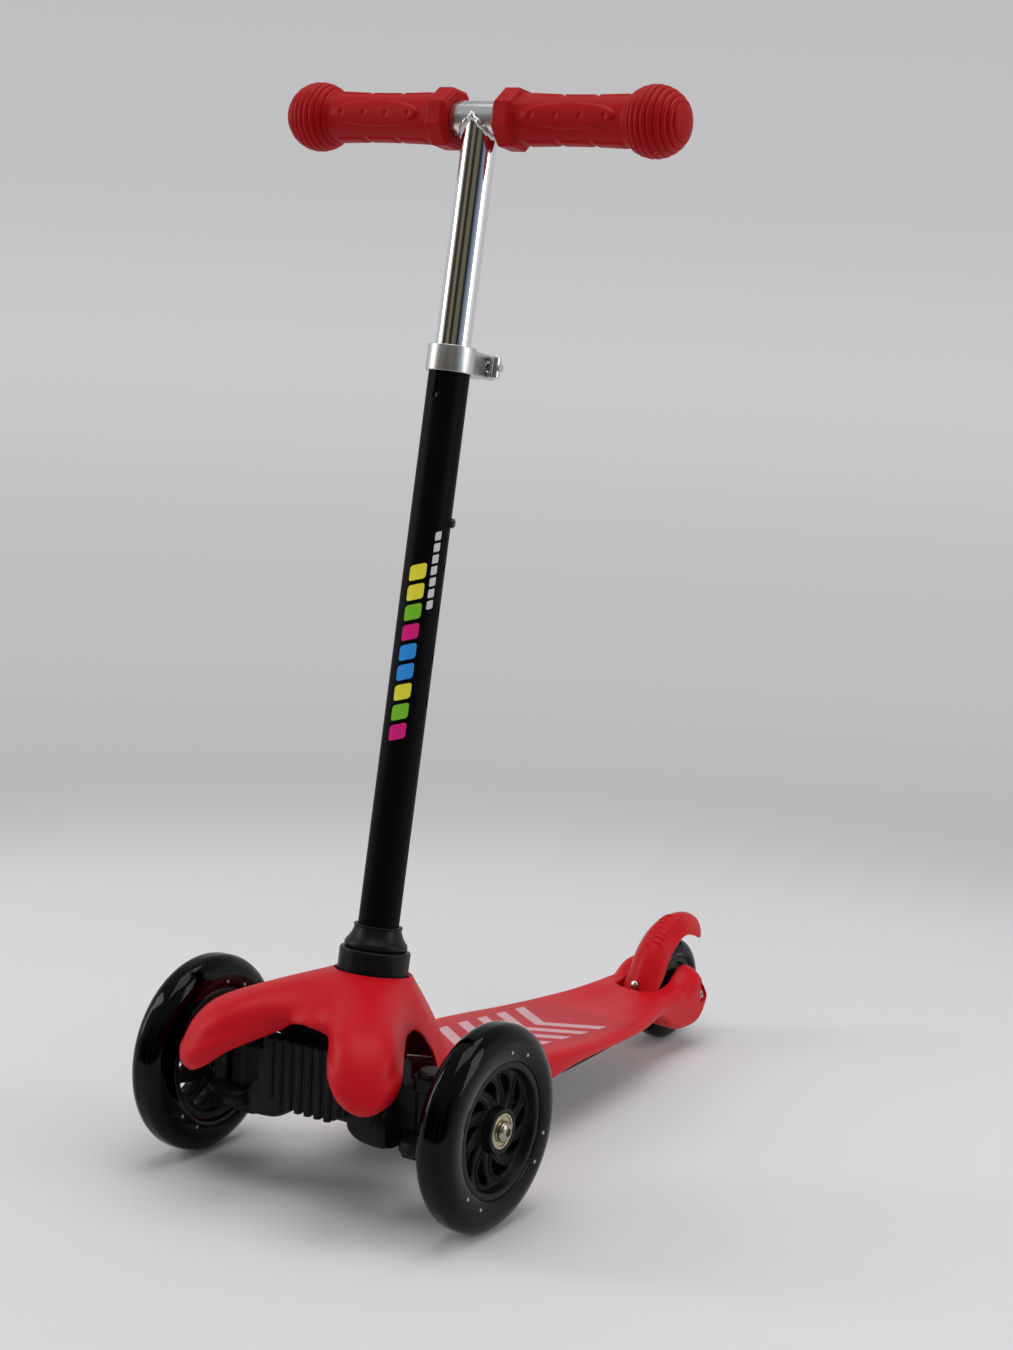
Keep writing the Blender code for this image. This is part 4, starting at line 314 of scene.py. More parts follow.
# Where the flat deck turns into the fork, and where the cheeks hump up to the axle
FORK_BLEND = (REAR_AXLE_Y - 0.12, REAR_AXLE_Y - 0.03)
HUMP_BLEND = (REAR_AXLE_Y - 0.036, REAR_AXLE_Y - 0.019)
CHEEK_OUTER, RECESS_DEPTH, RECESS_R, AXLE_HOLE_R = 0.0335, 0.0050, 0.0048, 0.0041
# The standing area: where it fades out at the sides, in front and behind, its lozenges and its chevrons
STAND_SIDE, STAND_FRONT, STAND_BACK = (0.0455, 0.0425), (-0.150, -0.147), (0.098, 0.090)
LOZENGE_PITCH, LOZENGE_RISE, LOZENGE_PINK = 0.0024, 0.00035, (0.62, 0.06, 0.085)
CHEVRON_PITCH, CHEVRON_SLOPE, CHEVRON_SIDE = 0.024, -0.80, (0.0345, 0.034)
CHEVRON_FRONT, CHEVRON_BACK, CHEVRON_PINK = (-0.1500, -0.1495), (0.0505, 0.0500), (0.78, 0.48, 0.53)


def soft(value, low, high):
    """From 0 at low to 1 at high, without a corner at either."""
    t = min(1.0, max(0.0, (value - low) / (high - low)))
    return t * t * (3 - 2 * t)


def smooth_between(rows, at):
    """Read a smooth curve through rows of (position, value, value...)."""
    if at <= rows[0][0]:
        return rows[0][1:]
    if at >= rows[-1][0]:
        return rows[-1][1:]
    k = max(i for i in range(len(rows) - 1) if rows[i][0] <= at)
    before, here, there, after = rows[max(k - 1, 0)], rows[k], rows[k + 1], rows[min(k + 2, len(rows) - 1)]
    span = there[0] - here[0]
    t = (at - here[0]) / span
    values = []
    for c in range(1, len(here)):
        slope_here = (there[c] - before[c]) / (there[0] - before[0]) * span
        slope_there = (after[c] - here[c]) / (after[0] - here[0]) * span
        values.append((2 * t**3 - 3 * t**2 + 1) * here[c] + (t**3 - 2 * t**2 + t) * slope_here
                      + (3 * t**2 - 2 * t**3) * there[c] + (t**3 - t**2) * slope_there)
    return tuple(values)


def shape(name, bm, look, sharp=40, place=None):
    """An object from a mesh, smooth except at its real edges."""
    if place is not None:
        bmesh.ops.transform(bm, matrix=place, verts=bm.verts)
    bmesh.ops.recalc_face_normals(bm, faces=bm.faces)
    mesh = bpy.data.meshes.new(name)
    bm.to_mesh(mesh)
    bm.free()
    mesh.shade_smooth()
    if sharp:
        mesh.set_sharp_from_angle(angle=radians(sharp))
    made = bpy.data.objects.new(name, mesh)
    bpy.context.scene.collection.objects.link(made)
    if look:
        mesh.materials.append(look)
    return made


def skinned(rings, closed=False):
    """Skin a run of rings; the two ends are capped unless the run is closed."""
    bm = bmesh.new()
    rows = [[bm.verts.new(point) for point in ring] for ring in rings]
    count = len(rows[0])
    for i in range(len(rows) if closed else len(rows) - 1):
        here, there = rows[i], rows[(i + 1) % len(rows)]
        for k in range(count):
            after = (k + 1) % count
            bm.faces.new((here[k], here[after], there[after], there[k]))
    if not closed:
        bm.faces.new(rows[0])
        bm.faces.new(rows[-1])
    return bm


def prism(outline, low, high, axis="Z"):
    """Extrude an outline along an axis; it is drawn in the other two, in the order X, Y, Z."""
    spot = "XYZ".index(axis)
    return skinned([[(*point[:spot], depth, *point[spot:]) for point in outline] for depth in (low, high)])


def eased(points, steps=4):
    """A closed outline of (a, b) or (a, b, radius) points, with its corners rounded."""
    made = []
    count = len(points)
    for k, point in enumerate(points):
        corner = Vector(point[:2])
        radius = point[2] if len(point) > 2 else 0
        if not radius:
            made.append(tuple(corner))
            continue
        before, after = Vector(points[k - 1][:2]) - corner, Vector(points[(k + 1) % count][:2]) - corner
        reach = min(radius, before.length * 0.49, after.length * 0.49)
        start, end = corner + before.normalized() * reach, corner + after.normalized() * reach
        for step in range(steps + 1):
            t = step / steps
            made.append(tuple(start * (1 - t) ** 2 + corner * 2 * t * (1 - t) + end * t * t))
    return made


def rod(radius, low, high, sides=48):
    """A round bar along Z."""
    return skinned([[(radius * cos(2 * pi * k / sides), radius * sin(2 * pi * k / sides), z)
                     for k in range(sides)] for z in (low, high)])


def applied(target):
    """Bake an object's modifiers into its mesh."""
    bpy.context.view_layer.update()
    graph = bpy.context.evaluated_depsgraph_get()
    mesh = bpy.data.meshes.new_from_object(target.evaluated_get(graph))
    target.modifiers.clear()
    target.data = mesh
    return target


def carve(target, tools, how="DIFFERENCE"):
    """Cut tools from an object, or join them on, and leave one plain mesh."""
    helpers = []
    for bm in tools:
        tool = shape("cutter", bm, None, 0)
        step = target.modifiers.new("carve", "BOOLEAN")
        step.operation, step.object, step.solver = how, tool, "EXACT"
        helpers.append(tool)
    applied(target)
    for tool in helpers:
        bpy.data.objects.remove(tool, do_unlink=True)
    return target


def voxel_skin(target, voxel, easing=0):
    """Mesh an object afresh in small even faces, and ease it."""
    skin = target.modifiers.new("skin", "REMESH")
    skin.mode, skin.voxel_size = "VOXEL", voxel
    if easing:
        ease = target.modifiers.new("ease", "SMOOTH")
        ease.factor, ease.iterations = 0.5, easing
    return applied(target)


def settled(made, sharp, place=None):
    """Put a carved object in its place, smooth except at its real edges."""
    if place is not None:
        made.data.transform(place)
    made.data.shade_smooth()
    made.data.set_sharp_from_angle(angle=radians(sharp))
    return made


def moved(bm, place):
    """Put a shape that isn't an object yet in its place."""
    bmesh.ops.transform(bm, matrix=place, verts=bm.verts)
    return bm


def along_x(x=0.0, y=0.0, z=0.0):
    """Place for something drawn along Z that lies along X."""
    return Matrix.Translation((x, y, z)) @ Matrix.Rotation(pi / 2, 4, "Y")


def deck_finish():
    """Satin red with a raised grip texture and printed chevrons where the rider stands."""
    made = shade("deck_red", (0.60, 0.0060, 0.014), 0.38, drift=0.04, drift_size=0.05, gloss_drift=0.06)
    tree = made.node_tree
    shader = tree.nodes["Principled BSDF"]
    place = tree.nodes.new("ShaderNodeTexCoord")
    split = tree.nodes.new("ShaderNodeSeparateXYZ")
    tree.links.new(place.outputs["Object"], split.inputs[0])

    def sum_of(kind, a, b=None):
        """One step of arithmetic, on values or sockets."""
        step = tree.nodes.new("ShaderNodeMath")
        step.operation = kind
        for socket, value in zip(step.inputs, (a, b)):
            if value is None:
                continue
            if isinstance(value, (int, float)):
                socket.default_value = value
            else:
                tree.links.new(value, socket)
        return step.outputs[0]

    def soft_step(value, low, high):
        """From 0 at low to 1 at high."""
        step = node_in(tree, "ShaderNodeMapRange", From_Min=low, From_Max=high)
        step.interpolation_type = "SMOOTHSTEP"
        tree.links.new(value, step.inputs["Value"])
        return step.outputs["Result"]

    side = sum_of("ABSOLUTE", split.outputs["X"])
    along = split.outputs["Y"]
    # The standing area: inside the rounded edge, ahead of the smooth rise to the fork, on top only
    inside = soft_step(side, *STAND_SIDE)
    front = soft_step(along, *STAND_FRONT)
    back = soft_step(along, *STAND_BACK)
    top = tree.nodes.new("ShaderNodeNewGeometry")
    facing = tree.nodes.new("ShaderNodeSeparateXYZ")
    tree.links.new(top.outputs["Normal"], facing.inputs[0])
    up = soft_step(facing.outputs["Z"], 0.75, 0.9)
    area = sum_of("MULTIPLY", sum_of("MULTIPLY", inside, front), sum_of("MULTIPLY", back, up))
    # Raised lozenges, where two slanting waves meet
    slants = [sum_of(kind, along, split.outputs["X"]) for kind in ("ADD", "SUBTRACT")]
    waves = [sum_of("SINE", sum_of("MULTIPLY", slant, 2 * pi / LOZENGE_PITCH)) for slant in slants]
    lozenge = soft_step(sum_of("MULTIPLY", *waves), 0.05, 0.45)
    raised = sum_of("MULTIPLY", lozenge, area)
    bump = node_in(tree, "ShaderNodeBump", Strength=1.0, Distance=LOZENGE_RISE)
    tree.links.new(raised, bump.inputs["Height"])
    tree.links.new(bump.outputs["Normal"], shader.inputs["Normal"])
    # Chevrons that point forward, printed in pale pink
    slant = sum_of("ADD", along, sum_of("MULTIPLY", side, CHEVRON_SLOPE))
    run = sum_of("FRACT", sum_of("DIVIDE", sum_of("ADD", slant, 1.0), CHEVRON_PITCH))
    band = sum_of("MULTIPLY", soft_step(run, 0.02, 0.045), soft_step(run, 0.52, 0.495))
    ends = sum_of("MULTIPLY", soft_step(slant, *CHEVRON_FRONT), soft_step(slant, *CHEVRON_BACK))
    zone = sum_of("MULTIPLY", soft_step(side, *CHEVRON_SIDE), ends)
    print_mask = sum_of("MULTIPLY", sum_of("MULTIPLY", band, zone), up)
    paler = mixed(tree, sum_of("MULTIPLY", raised, 0.55), tree.nodes["tint"].outputs[2], LOZENGE_PINK)
    printed = mixed(tree, sum_of("MULTIPLY", print_mask, 0.92), paler.outputs[2], CHEVRON_PINK)
    tree.links.new(printed.outputs[2], shader.inputs["Base Color"])
    return made


def deck_section(y):
    """Half of the moulding's outline across, from its middle out, down the side and back inside."""
    if y < REAR_AXLE_Y + FORK_SHAPE[0][0]:
        half, middle, low = smooth_between(DECK_SHAPE, (y - DECK_FRONT_Y) / (DECK_BACK_Y - DECK_FRONT_Y))
        side = middle
    else:
        half, middle, side, low = smooth_between(FORK_SHAPE, y - REAR_AXLE_Y)
    fork = soft(y, *FORK_BLEND)
    hump = soft(y, *HUMP_BLEND)
    shoulder = 0.0085 - 0.0010 * fork + 0.0085 * hump
    drop = min(0.0048 + 0.0034 * fork + 0.0078 * hump, 0.8 * (side - low))
    rise_end = 0.031 - 0.013 * fork
    points = []
    for k in range(14):
        x = (half - shoulder) * (k + 0.5) / 14
        points.append((x, middle + (side - middle) * soft(x, rise_end * 0.2, rise_end)))
    for step in range(8):
        turn = pi / 2 * step / 7
        points.append((half - shoulder + shoulder * sin(turn), side - drop + drop * cos(turn)))
    foot = 0.0026 + 0.0014 * fork
    points += [(half - 0.0003, low + foot), (half - 0.0010, low + 0.4 * foot), (half - foot, low)]
    if y < HOLLOW_BACK_Y:
        return points + [(half - DECK_WALL, low + 0.0004), (half - DECK_WALL, middle - 0.0075),
                         (half - 2 * DECK_WALL, middle - 0.0042)]
    return points + [(half - 0.0060, low), (half - 0.0090, low), (half - 0.0120, low)]


def slot_outline(front, back, corner):
    """The fender's slot from above, with its two front corners rounded."""
    return eased([(-SLOT_HALF, back), (SLOT_HALF, back), (SLOT_HALF, front, corner),
                  (-SLOT_HALF, front, corner)], 8)


def deck_moulding():
    """The whole moulding: skinned from its sections, slotted for the fender and drilled for the axle."""
    rings = []
    back = REAR_AXLE_Y + FORK_SHAPE[-1][0]
    stations = 150
    for k in range(stations + 1):
        share = k / stations
        y = DECK_FRONT_Y + (back - DECK_FRONT_Y) * (share + 0.12 * sin(pi * share) ** 2 * share)
        right = deck_section(y)
        rings.append([(x, y, z) for x, z in right] + [(-x, y, z) for x, z in reversed(right)])
    made = shape("deck_moulding", skinned(rings), deck_finish(), 0)
    voxel_skin(made, 0.0009)
    # The slot's mouth is square, and the pocket for the pin and spring reaches on under the skin
    slot = slot_outline(SLOT_MOUTH_Y, 0.26, 0.005)
    pocket = slot_outline(SLOT_FRONT_Y, SLOT_MOUTH_Y + 0.01, 0.004)
    carve(made, [prism(slot, 0, 0.1), prism(pocket, 0, POCKET_TOP_Z)])
    voxel_skin(made, 0.0008, 14)
    # An upright oval recess round each end of the axle bolt
    recess = []
    for turn in (2 * pi * k / 48 for k in range(48)):
        middle_z = REAR_AXLE_Z + (0.0070 if sin(turn) > 0 else 0.0002)
        recess.append((REAR_AXLE_Y - 0.0008 + RECESS_R * cos(turn), middle_z + RECESS_R * sin(turn)))
    tools = []
    for side in (-1, 1):
        low, high = sorted((side * (CHEEK_OUTER - RECESS_DEPTH), side * 0.045))
        tools.append(prism(recess, low, high, "X"))
    tools.append(moved(rod(AXLE_HOLE_R, -0.04, 0.04, 24), along_x(0, REAR_AXLE_Y, REAR_AXLE_Z)))
    carve(made, tools)
    return settled(made, 50)


deck = deck_moulding()
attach(deck, "frame")
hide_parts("deck")

# Head casting. A black powder-coated casting under the cover: the stem's socket, the lean pivot,
# the arms over the springs and the foot that is screwed between the deck and the tray.
powder_black = shade("powder_black", (0.007, 0.007, 0.008), 0.5, drift=0.1, grain=0.00008, grain_size=0.0009)
dress(powder_black, "head_casting")
# The apron hangs in front of the casting, seen through the cover's front arch
APRON_FRONT_Y, APRON_BACK_Y = -0.2135, -0.2092
APRON_RIGHT = ((-0.052, 0.1005), (-0.030, 0.0965), (-0.012, 0.0945))
APRON_TOP = ((0.050, 0.1085), (0.030, 0.1150), (-0.030, 0.1150), (-0.050, 0.1085))
apron = [*APRON_RIGHT, *[(-x, z) for x, z in reversed(APRON_RIGHT)], *APRON_TOP]
apron = shape("casting_apron", prism(apron, APRON_FRONT_Y, APRON_BACK_Y, "Y"), powder_black, 30)
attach(apron, "frame")

# Axle beam, ribbed cap, pivot bolt and lean springs. The beam and its cap are black nylon; the bolt
# is zinc-plated steel, and two oiled steel coils on pegs bring the scooter upright.
beam_nylon = shade("beam_nylon", (0.006, 0.006, 0.007), 0.42, grain=0.00005, grain_size=0.0006)
plated_bolt = shade("plated_bolt", (0.62, 0.61, 0.60), 0.28, metallic=1.0, drift=0.10, drift_size=0.005,
                    grain=0.00001, grain_size=0.0003)
spring_oil = shade("spring_oil", (0.22, 0.22, 0.23), 0.33, metallic=1.0, drift=0.2, drift_size=0.006)
dress(beam_nylon, "axle_beam", "beam_shroud")
dress(plated_bolt, "lean_pivot_bolt", "lean_pivot_nut")


def wound(name, points, radius, look):
    """A round wire along points, as one smooth curve."""
    curve = bpy.data.curves.new(name, "CURVE")
    curve.dimensions = "3D"
    curve.bevel_depth, curve.bevel_resolution = radius, 5
    curve.use_fill_caps = True
    spline = curve.splines.new("POLY")
    spline.points.add(len(points) - 1)
    for target, point in zip(spline.points, points):
        target.co = (*point, 1)
    curve.materials.append(look)
    made = bpy.data.objects.new(name, curve)
    bpy.context.scene.collection.objects.link(made)
    return made


# The lean springs: place, radius, wire, number of turns, and the seats that they stand between
SPRING_X, SPRING_Y, SPRING_R, SPRING_WIRE, SPRING_TURNS = 0.030, AXLE_Y - 0.010, 0.0069, 0.0011, 4
SPRING_SEATS = (0.0883, 0.1117)
for side, tag in ((1, "left"), (-1, "right")):
    low, high = SPRING_SEATS[0] + SPRING_WIRE, SPRING_SEATS[1] - SPRING_WIRE
    wire_points = []
    for k in range(SPRING_TURNS * 28 + 1):
        share = k / (SPRING_TURNS * 28)
        turn = 2 * pi * SPRING_TURNS * share
        height = low + (high - low) * (share - 0.06 * sin(2 * pi * share))
        wire_points.append((side * SPRING_X + SPRING_R * cos(turn), SPRING_Y + SPRING_R * sin(turn), height))
    spring = wound("lean_coil_" + tag, wire_points, SPRING_WIRE, spring_oil)
    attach(spring, "frame")
    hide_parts("lean_spring_" + tag)

# Knuckles, kingpins and tie rod. Each black nylon knuckle carries a wheel on its stub boss and turns
# on a kingpin with a round cap; the steel tie rod joins their arms behind the beam.
knuckle_nylon = shade("knuckle_nylon", (0.006, 0.006, 0.007), 0.40, grain=0.00005, grain_size=0.0006)
dress(knuckle_nylon, "knuckle_left", "knuckle_right", "kingpin_left", "kingpin_right")
dress(plated_bolt, "tie_rod")
# Rounded bellies under the ends of the beam and on the knuckles: x, y from and to, z from and to
BEAM_BELLY = ((0.0215, -0.2120, -0.1980, 0.0500, 0.0560), (0.0250, -0.2160, -0.1940, 0.0462, 0.0600),
              (0.0310, -0.2176, -0.1900, 0.0420, 0.0640), (0.0400, -0.2177, -0.1880, 0.0402, 0.0640),
              (0.0480, -0.2170, -0.1880, 0.0400, 0.0640), (0.0520, -0.2150, -0.1890, 0.0410, 0.0600))
KNUCKLE_BELLY = ((0.0560, -0.2050, -0.1880, 0.0410, 0.0500), (0.0600, -0.2120, -0.1830, 0.0398, 0.0515),
                 (0.0680, -0.2150, -0.1810, 0.0396, 0.0517), (0.0760, -0.2140, -0.1810, 0.0410, 0.0517),
                 (0.0840, -0.2110, -0.1820, 0.0430, 0.0517), (0.0900, -0.2060, -0.1860, 0.0465, 0.0510))


def belly(name, rows, side, body, look):
    """A rounded block that swells and fades along X."""
    squareness = 0.65
    rings = []
    for k in range(33):
        x = rows[0][0] + (rows[-1][0] - rows[0][0]) * k / 32
        y0, y1, z0, z1 = smooth_between(rows, x)
        ring = []
        for turn in (2 * pi * i / 40 for i in range(40)):
            a, b = (copysign(abs(part) ** squareness, part) for part in (cos(turn), sin(turn)))
            ring.append((side * x, (y0 + y1 + (y1 - y0) * a) / 2, (z0 + z1 + (z1 - z0) * b) / 2))
        rings.append(ring)
    made = shape(name, skinned(rings), look, 60)
    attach(made, body)


for side, tag in ((1, "left"), (-1, "right")):
    belly("beam_belly_" + tag, BEAM_BELLY, side, "beam", beam_nylon)
    belly("knuckle_belly_" + tag, KNUCKLE_BELLY, side, "knuckle_" + tag, knuckle_nylon)

# Front wheels. A smoky see-through urethane tyre is cast round a black nylon core, over a flange
# with a ring of small pale pins whose colour paints glints of light; ten curved openings with thin
# lips sweep round the hub, which holds two zinc-plated bearings and a sleeve on a button-head axle bolt.
FRONT_AXLE_X, FRONT_AXLE_Z = 0.1065, 0.0625
TYRE_R, TYRE_HALF, CORE_R, FLANGE_R, GROOVE_HALF = 0.0625, 0.012, 0.0413, 0.0493, 0.0018
HUB_R, HUB_OUT, BEARING_R, BEARING_WIDE, WEB_HALF = 0.0135, 0.0114, 0.011, 0.007, 0.0045
OPENINGS, OPENING_SWEEP = 10, radians(26)
LIP_R, LIP_OFFSETS = 0.00055, (0.0005, 0.0021)
# Painted glints: small pale pins through the tyre, whose colour paints the glints of light that show through
# it
GLINT_PIN_R, GLINT_PIN_HALF, GLINT_PINS_R = 0.0011, 0.0120, 0.0467
GLINT_TURNS = [radians(middle + off) for middle in (72, -27, -126.5) for off in (-11, 11)]
AXLE_HEAD_R, AXLE_SOCKET_R, AXLE_TIP_X = 0.0064, 0.0029, 0.0815


def lathed(profile, sides=96):
    """Turn a closed outline of (radius, height) points about Z."""
    rings = []
    for k in range(sides):
        c, s = cos(2 * pi * k / sides), sin(2 * pi * k / sides)
        rings.append([(r * c, r * s, z) for r, z in profile])
    bm = skinned(rings, closed=True)
    bmesh.ops.remove_doubles(bm, verts=bm.verts, dist=1e-6)
    return bm


def together(*parts):
    """Several closed shapes as one mesh."""
    bm = parts[0]
    for other in parts[1:]:
        mesh = bpy.data.meshes.new("passing")
        other.to_mesh(mesh)
        other.free()
        bm.from_mesh(mesh)
        bpy.data.meshes.remove(mesh)
    return bm


def smoky(name):
    """Dark see-through urethane, glossy, with a faint haze."""
    made, tree, shader = new_look(name)
    shader.inputs["Transmission Weight"].default_value = 1.0
    shader.inputs["IOR"].default_value = 1.25
    place = tree.nodes.new("ShaderNodeTexCoord")
    cloud = node_in(tree, "ShaderNodeTexNoise", Scale=60.0, Detail=3.0)
    tree.links.new(place.outputs["Object"], cloud.inputs["Vector"])
    tint = mixed(tree, cloud.outputs["Fac"], (0.085, 0.090, 0.095), (0.115, 0.120, 0.125))
    tree.links.new(tint.outputs[2], shader.inputs["Base Color"])
    gloss = node_in(tree, "ShaderNodeMapRange", To_Min=0.03, To_Max=0.07)
    tree.links.new(cloud.outputs["Fac"], gloss.inputs["Value"])
    tree.links.new(gloss.outputs["Result"], shader.inputs["Roughness"])
    wave = node_in(tree, "ShaderNodeTexNoise", Scale=45.0, Detail=0.0)
    tree.links.new(place.outputs["Object"], wave.inputs["Vector"])
    bump = node_in(tree, "ShaderNodeBump", Strength=0.35, Distance=0.00006)
    tree.links.new(wave.outputs["Fac"], bump.inputs["Height"])
    tree.links.new(bump.outputs["Normal"], shader.inputs["Normal"])
    smoke = node_in(tree, "ShaderNodeVolumeAbsorption", Color=(0.14, 0.16, 0.18, 1), Density=330.0)
    tree.links.new(smoke.outputs[0], tree.nodes["Material Output"].inputs["Volume"])
    return made


smoky_urethane = smoky("smoky_urethane")
core_nylon = shade("core_nylon", (0.005, 0.005, 0.006), 0.36, grain=0.00003, grain_size=0.0005)
# Pale colour of the pins in the tyres: painted glints of light, not a lamp
painted_glint = shade("painted_glint", (0.42, 0.44, 0.48), 0.2, drift=0.03, drift_size=0.002, gloss_drift=0.05)
bearing_zinc = shade("bearing_zinc", (0.44, 0.40, 0.27), 0.26, metallic=1.0, drift=0.18, drift_size=0.004,
                     grain=0.00001, grain_size=0.0003)
axle_zinc = shade("axle_zinc", (0.36, 0.34, 0.29), 0.24, metallic=1.0, drift=0.12, drift_size=0.004)


def mirrored(right):
    """An outline of (radius, height, rounding) points with the other half of it."""
    return right + [(point[0], -point[1], *point[2:]) for point in reversed(right)]


def hexagon(radius):
    """The outline of a hexagon socket, by its corners' radius."""
    return [(radius * cos(pi * k / 3), radius * sin(pi * k / 3)) for k in range(6)]


def tyre_outline(radius, half, foot, flange_r):
    """Half round sides, a narrow flat crown, and the groove over the core's flange."""
    flat = 0.002
    right = []
    for k in range(19):
        turn = pi / 2 * k / 18
        right.append((radius - half + half * cos(turn), flat + (half - flat) * sin(turn)))
    return mirrored(right + [(foot + 0.0016, half - 0.0003), (foot, half - 0.0012), (foot, GROOVE_HALF),
                             (flange_r + 0.0003, GROOVE_HALF)])


def teardrop(k, grow=0.0):
    """One of the core's curved openings, from a narrow foot by the hub to a round head by the rim."""
    inner, outer = HUB_R + 0.0030, CORE_R - 0.0075
    left, right = [], []
    for step in range(19):
        share = step / 18
        radius = inner - grow + (outer - inner + 2 * grow) * share
        middle = OPENING_SWEEP * share**1.4
        swell = sqrt(max(0.0, sin(pi * share**1.3)))
        wide = (grow + (0.0008 + 0.0064 * share**0.85) * swell) / radius
        left.append((radius, middle - wide))
        right.append((radius, middle + wide))
    base = 2 * pi * k / OPENINGS
    ring = left + right[-2:0:-1]
    return [(r * cos(base + a), r * sin(base + a)) for r, a in ring]


def bearing_shape(out):
    """Outer race, sunk shield and inner race of a sealed bearing, its face at a height."""
    low = out - BEARING_WIDE
    bore, inner, outer, outside = 0.0042, 0.0064, 0.0092, 0.0108
    return together(
        lathed(eased([(outer, low), (outside, low, 0.0004), (outside, out, 0.0005),
                      (outer, out, 0.0003)]), 72),
        lathed(eased([(inner, low + 0.0008), (outer, low + 0.0008), (outer, out - 0.0006),
                      (0.0076, out - 0.0004, 0.0003), (inner, out - 0.0006)]), 72),
        lathed(eased([(bore, low), (inner, low), (inner, out, 0.0004), (bore, out, 0.0002)]), 72))


def bearing_pair(name, node, body, place):
    """The bearings in the two ends of a wheel's hub."""
    for end, turn in (("outer", Matrix.Identity(4)), ("inner", Matrix.Rotation(pi, 4, "X"))):
        ring = shape(name % end, bearing_shape(HUB_OUT), bearing_zinc, 35, place @ turn)
        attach(ring, body)
        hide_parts(node % end)


def button_bolt(name, look, seat, tip, wide, socket_r, socket_deep, place):
    """A bolt with a domed head and a hexagon socket in it."""
    shank = 0.0038
    head = [(0, tip), (shank - 0.0004, tip), (shank, tip + 0.0004), (shank, seat), (wide - 0.0003, seat),
            (wide, seat + 0.0004)]
    for turn in (radians(8 * k) for k in range(9)):
        head.append((wide * cos(turn) ** 0.8, seat + 0.0008 + wide / 2 * sin(turn)))
    top = head[-1][1]
    head += [(wide * 0.45, top - 0.0002), (0, top - 0.0002)]
    bolt = shape(name, lathed(head, 72), look, 0)
    carve(bolt, [prism(hexagon(socket_r), top - socket_deep, top + 0.001)])
    return settled(bolt, 35, place)


def front_wheel(side, tag):
    """One front wheel with its pale pins of painted glints, bearings and axle bolt."""
    hub = Matrix.Translation((side * FRONT_AXLE_X, AXLE_Y, FRONT_AXLE_Z))
    place = hub @ Matrix.Rotation(side * pi / 2, 4, "Y")
    tyre = lathed(tyre_outline(TYRE_R, TYRE_HALF, CORE_R + 0.0003, FLANGE_R), 128)
    tyre = shape(tag + "_front_tyre", tyre, smoky_urethane, 60, place)
    right = [(FLANGE_R - 0.0003, 0.0015, 0.0004), (CORE_R, 0.0015), (CORE_R, 0.0106, 0.0006),
             (CORE_R - 0.0040, 0.0106, 0.0012), (CORE_R - 0.0056, WEB_HALF, 0.0016),
             (HUB_R + 0.001, WEB_HALF, 0.0012), (HUB_R, HUB_OUT, 0.0008),
             (BEARING_R + 0.0003, HUB_OUT, 0.0003)]
    core = shape(tag + "_front_core", lathed(eased(mirrored(right)), 120), core_nylon, 0)
    openings = bmesh.new()
    lips = []
    for k in range(OPENINGS):
        openings = together(openings, prism(teardrop(k), -0.02, 0.02))
        for face in (-1, 1):
            height = face * (WEB_HALF + 0.0001)
            lips += [[(x, y, height) for x, y in teardrop(k, off)] for off in LIP_OFFSETS]
    carve(core, [openings])
    settled(core, 38, place)
    curve = bpy.data.curves.new(tag + "_core_lips", "CURVE")
    curve.dimensions = "3D"
    curve.bevel_depth, curve.bevel_resolution = LIP_R, 3
    for ring in lips:
        spline = curve.splines.new("POLY")
        spline.points.add(len(ring) - 1)
        for target, point in zip(spline.points, ring):
            target.co = (*(place @ Vector(point)), 1)
        spline.use_cyclic_u = True
    curve.materials.append(core_nylon)
    lip = bpy.data.objects.new(tag + "_core_lips", curve)
    bpy.context.scene.collection.objects.link(lip)
    # Each painted glint is a small pale pin whose ends show in the two sides of the tyre; its pale colour
    # paints the glints of light there
    glint_pin_mesh = bmesh.new()
    for turn in GLINT_TURNS:
        lens = lathed(eased([(0, -GLINT_PIN_HALF), (GLINT_PIN_R, -GLINT_PIN_HALF, 0.0003), (GLINT_PIN_R, GLINT_PIN_HALF, 0.0003),
                             (0, GLINT_PIN_HALF)]), 20)
        across = Vector((-side * GLINT_PINS_R * sin(turn), GLINT_PINS_R * cos(turn), 0))
        bmesh.ops.translate(lens, verts=lens.verts, vec=across)
        glint_pin_mesh = together(glint_pin_mesh, lens)
    lights = shape(tag + "_painted_glints", glint_pin_mesh, painted_glint, 60, place)
    body = "front_wheel_" + tag
    for made in (tyre, core, lip, lights):
        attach(made, body)
    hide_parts("front_tyre_" + tag)
    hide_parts("front_core_" + tag)
    bearing_pair(tag + "_front_%s_race", "front_" + tag + "_bearing_%s", body, place)
    bolt = button_bolt(tag + "_axle_bolt", axle_zinc, HUB_OUT + 0.0003, AXLE_TIP_X - FRONT_AXLE_X,
                       AXLE_HEAD_R, AXLE_SOCKET_R, 0.0024, place)
    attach(bolt, "knuckle_" + tag)
    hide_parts("front_axle_bolt_" + tag)


front_wheel(1, "left")
front_wheel(-1, "right")
dress(plated_bolt, "front_left_sleeve", "front_right_sleeve", "rear_sleeve")

# Front cover. A thin red satin moulding over the head: two round-ended wings reach forward over the
# axle ends and a broad leg runs back on to the deck. Two screws pull it down from inside.
STEM_RAKE = radians(8.3)
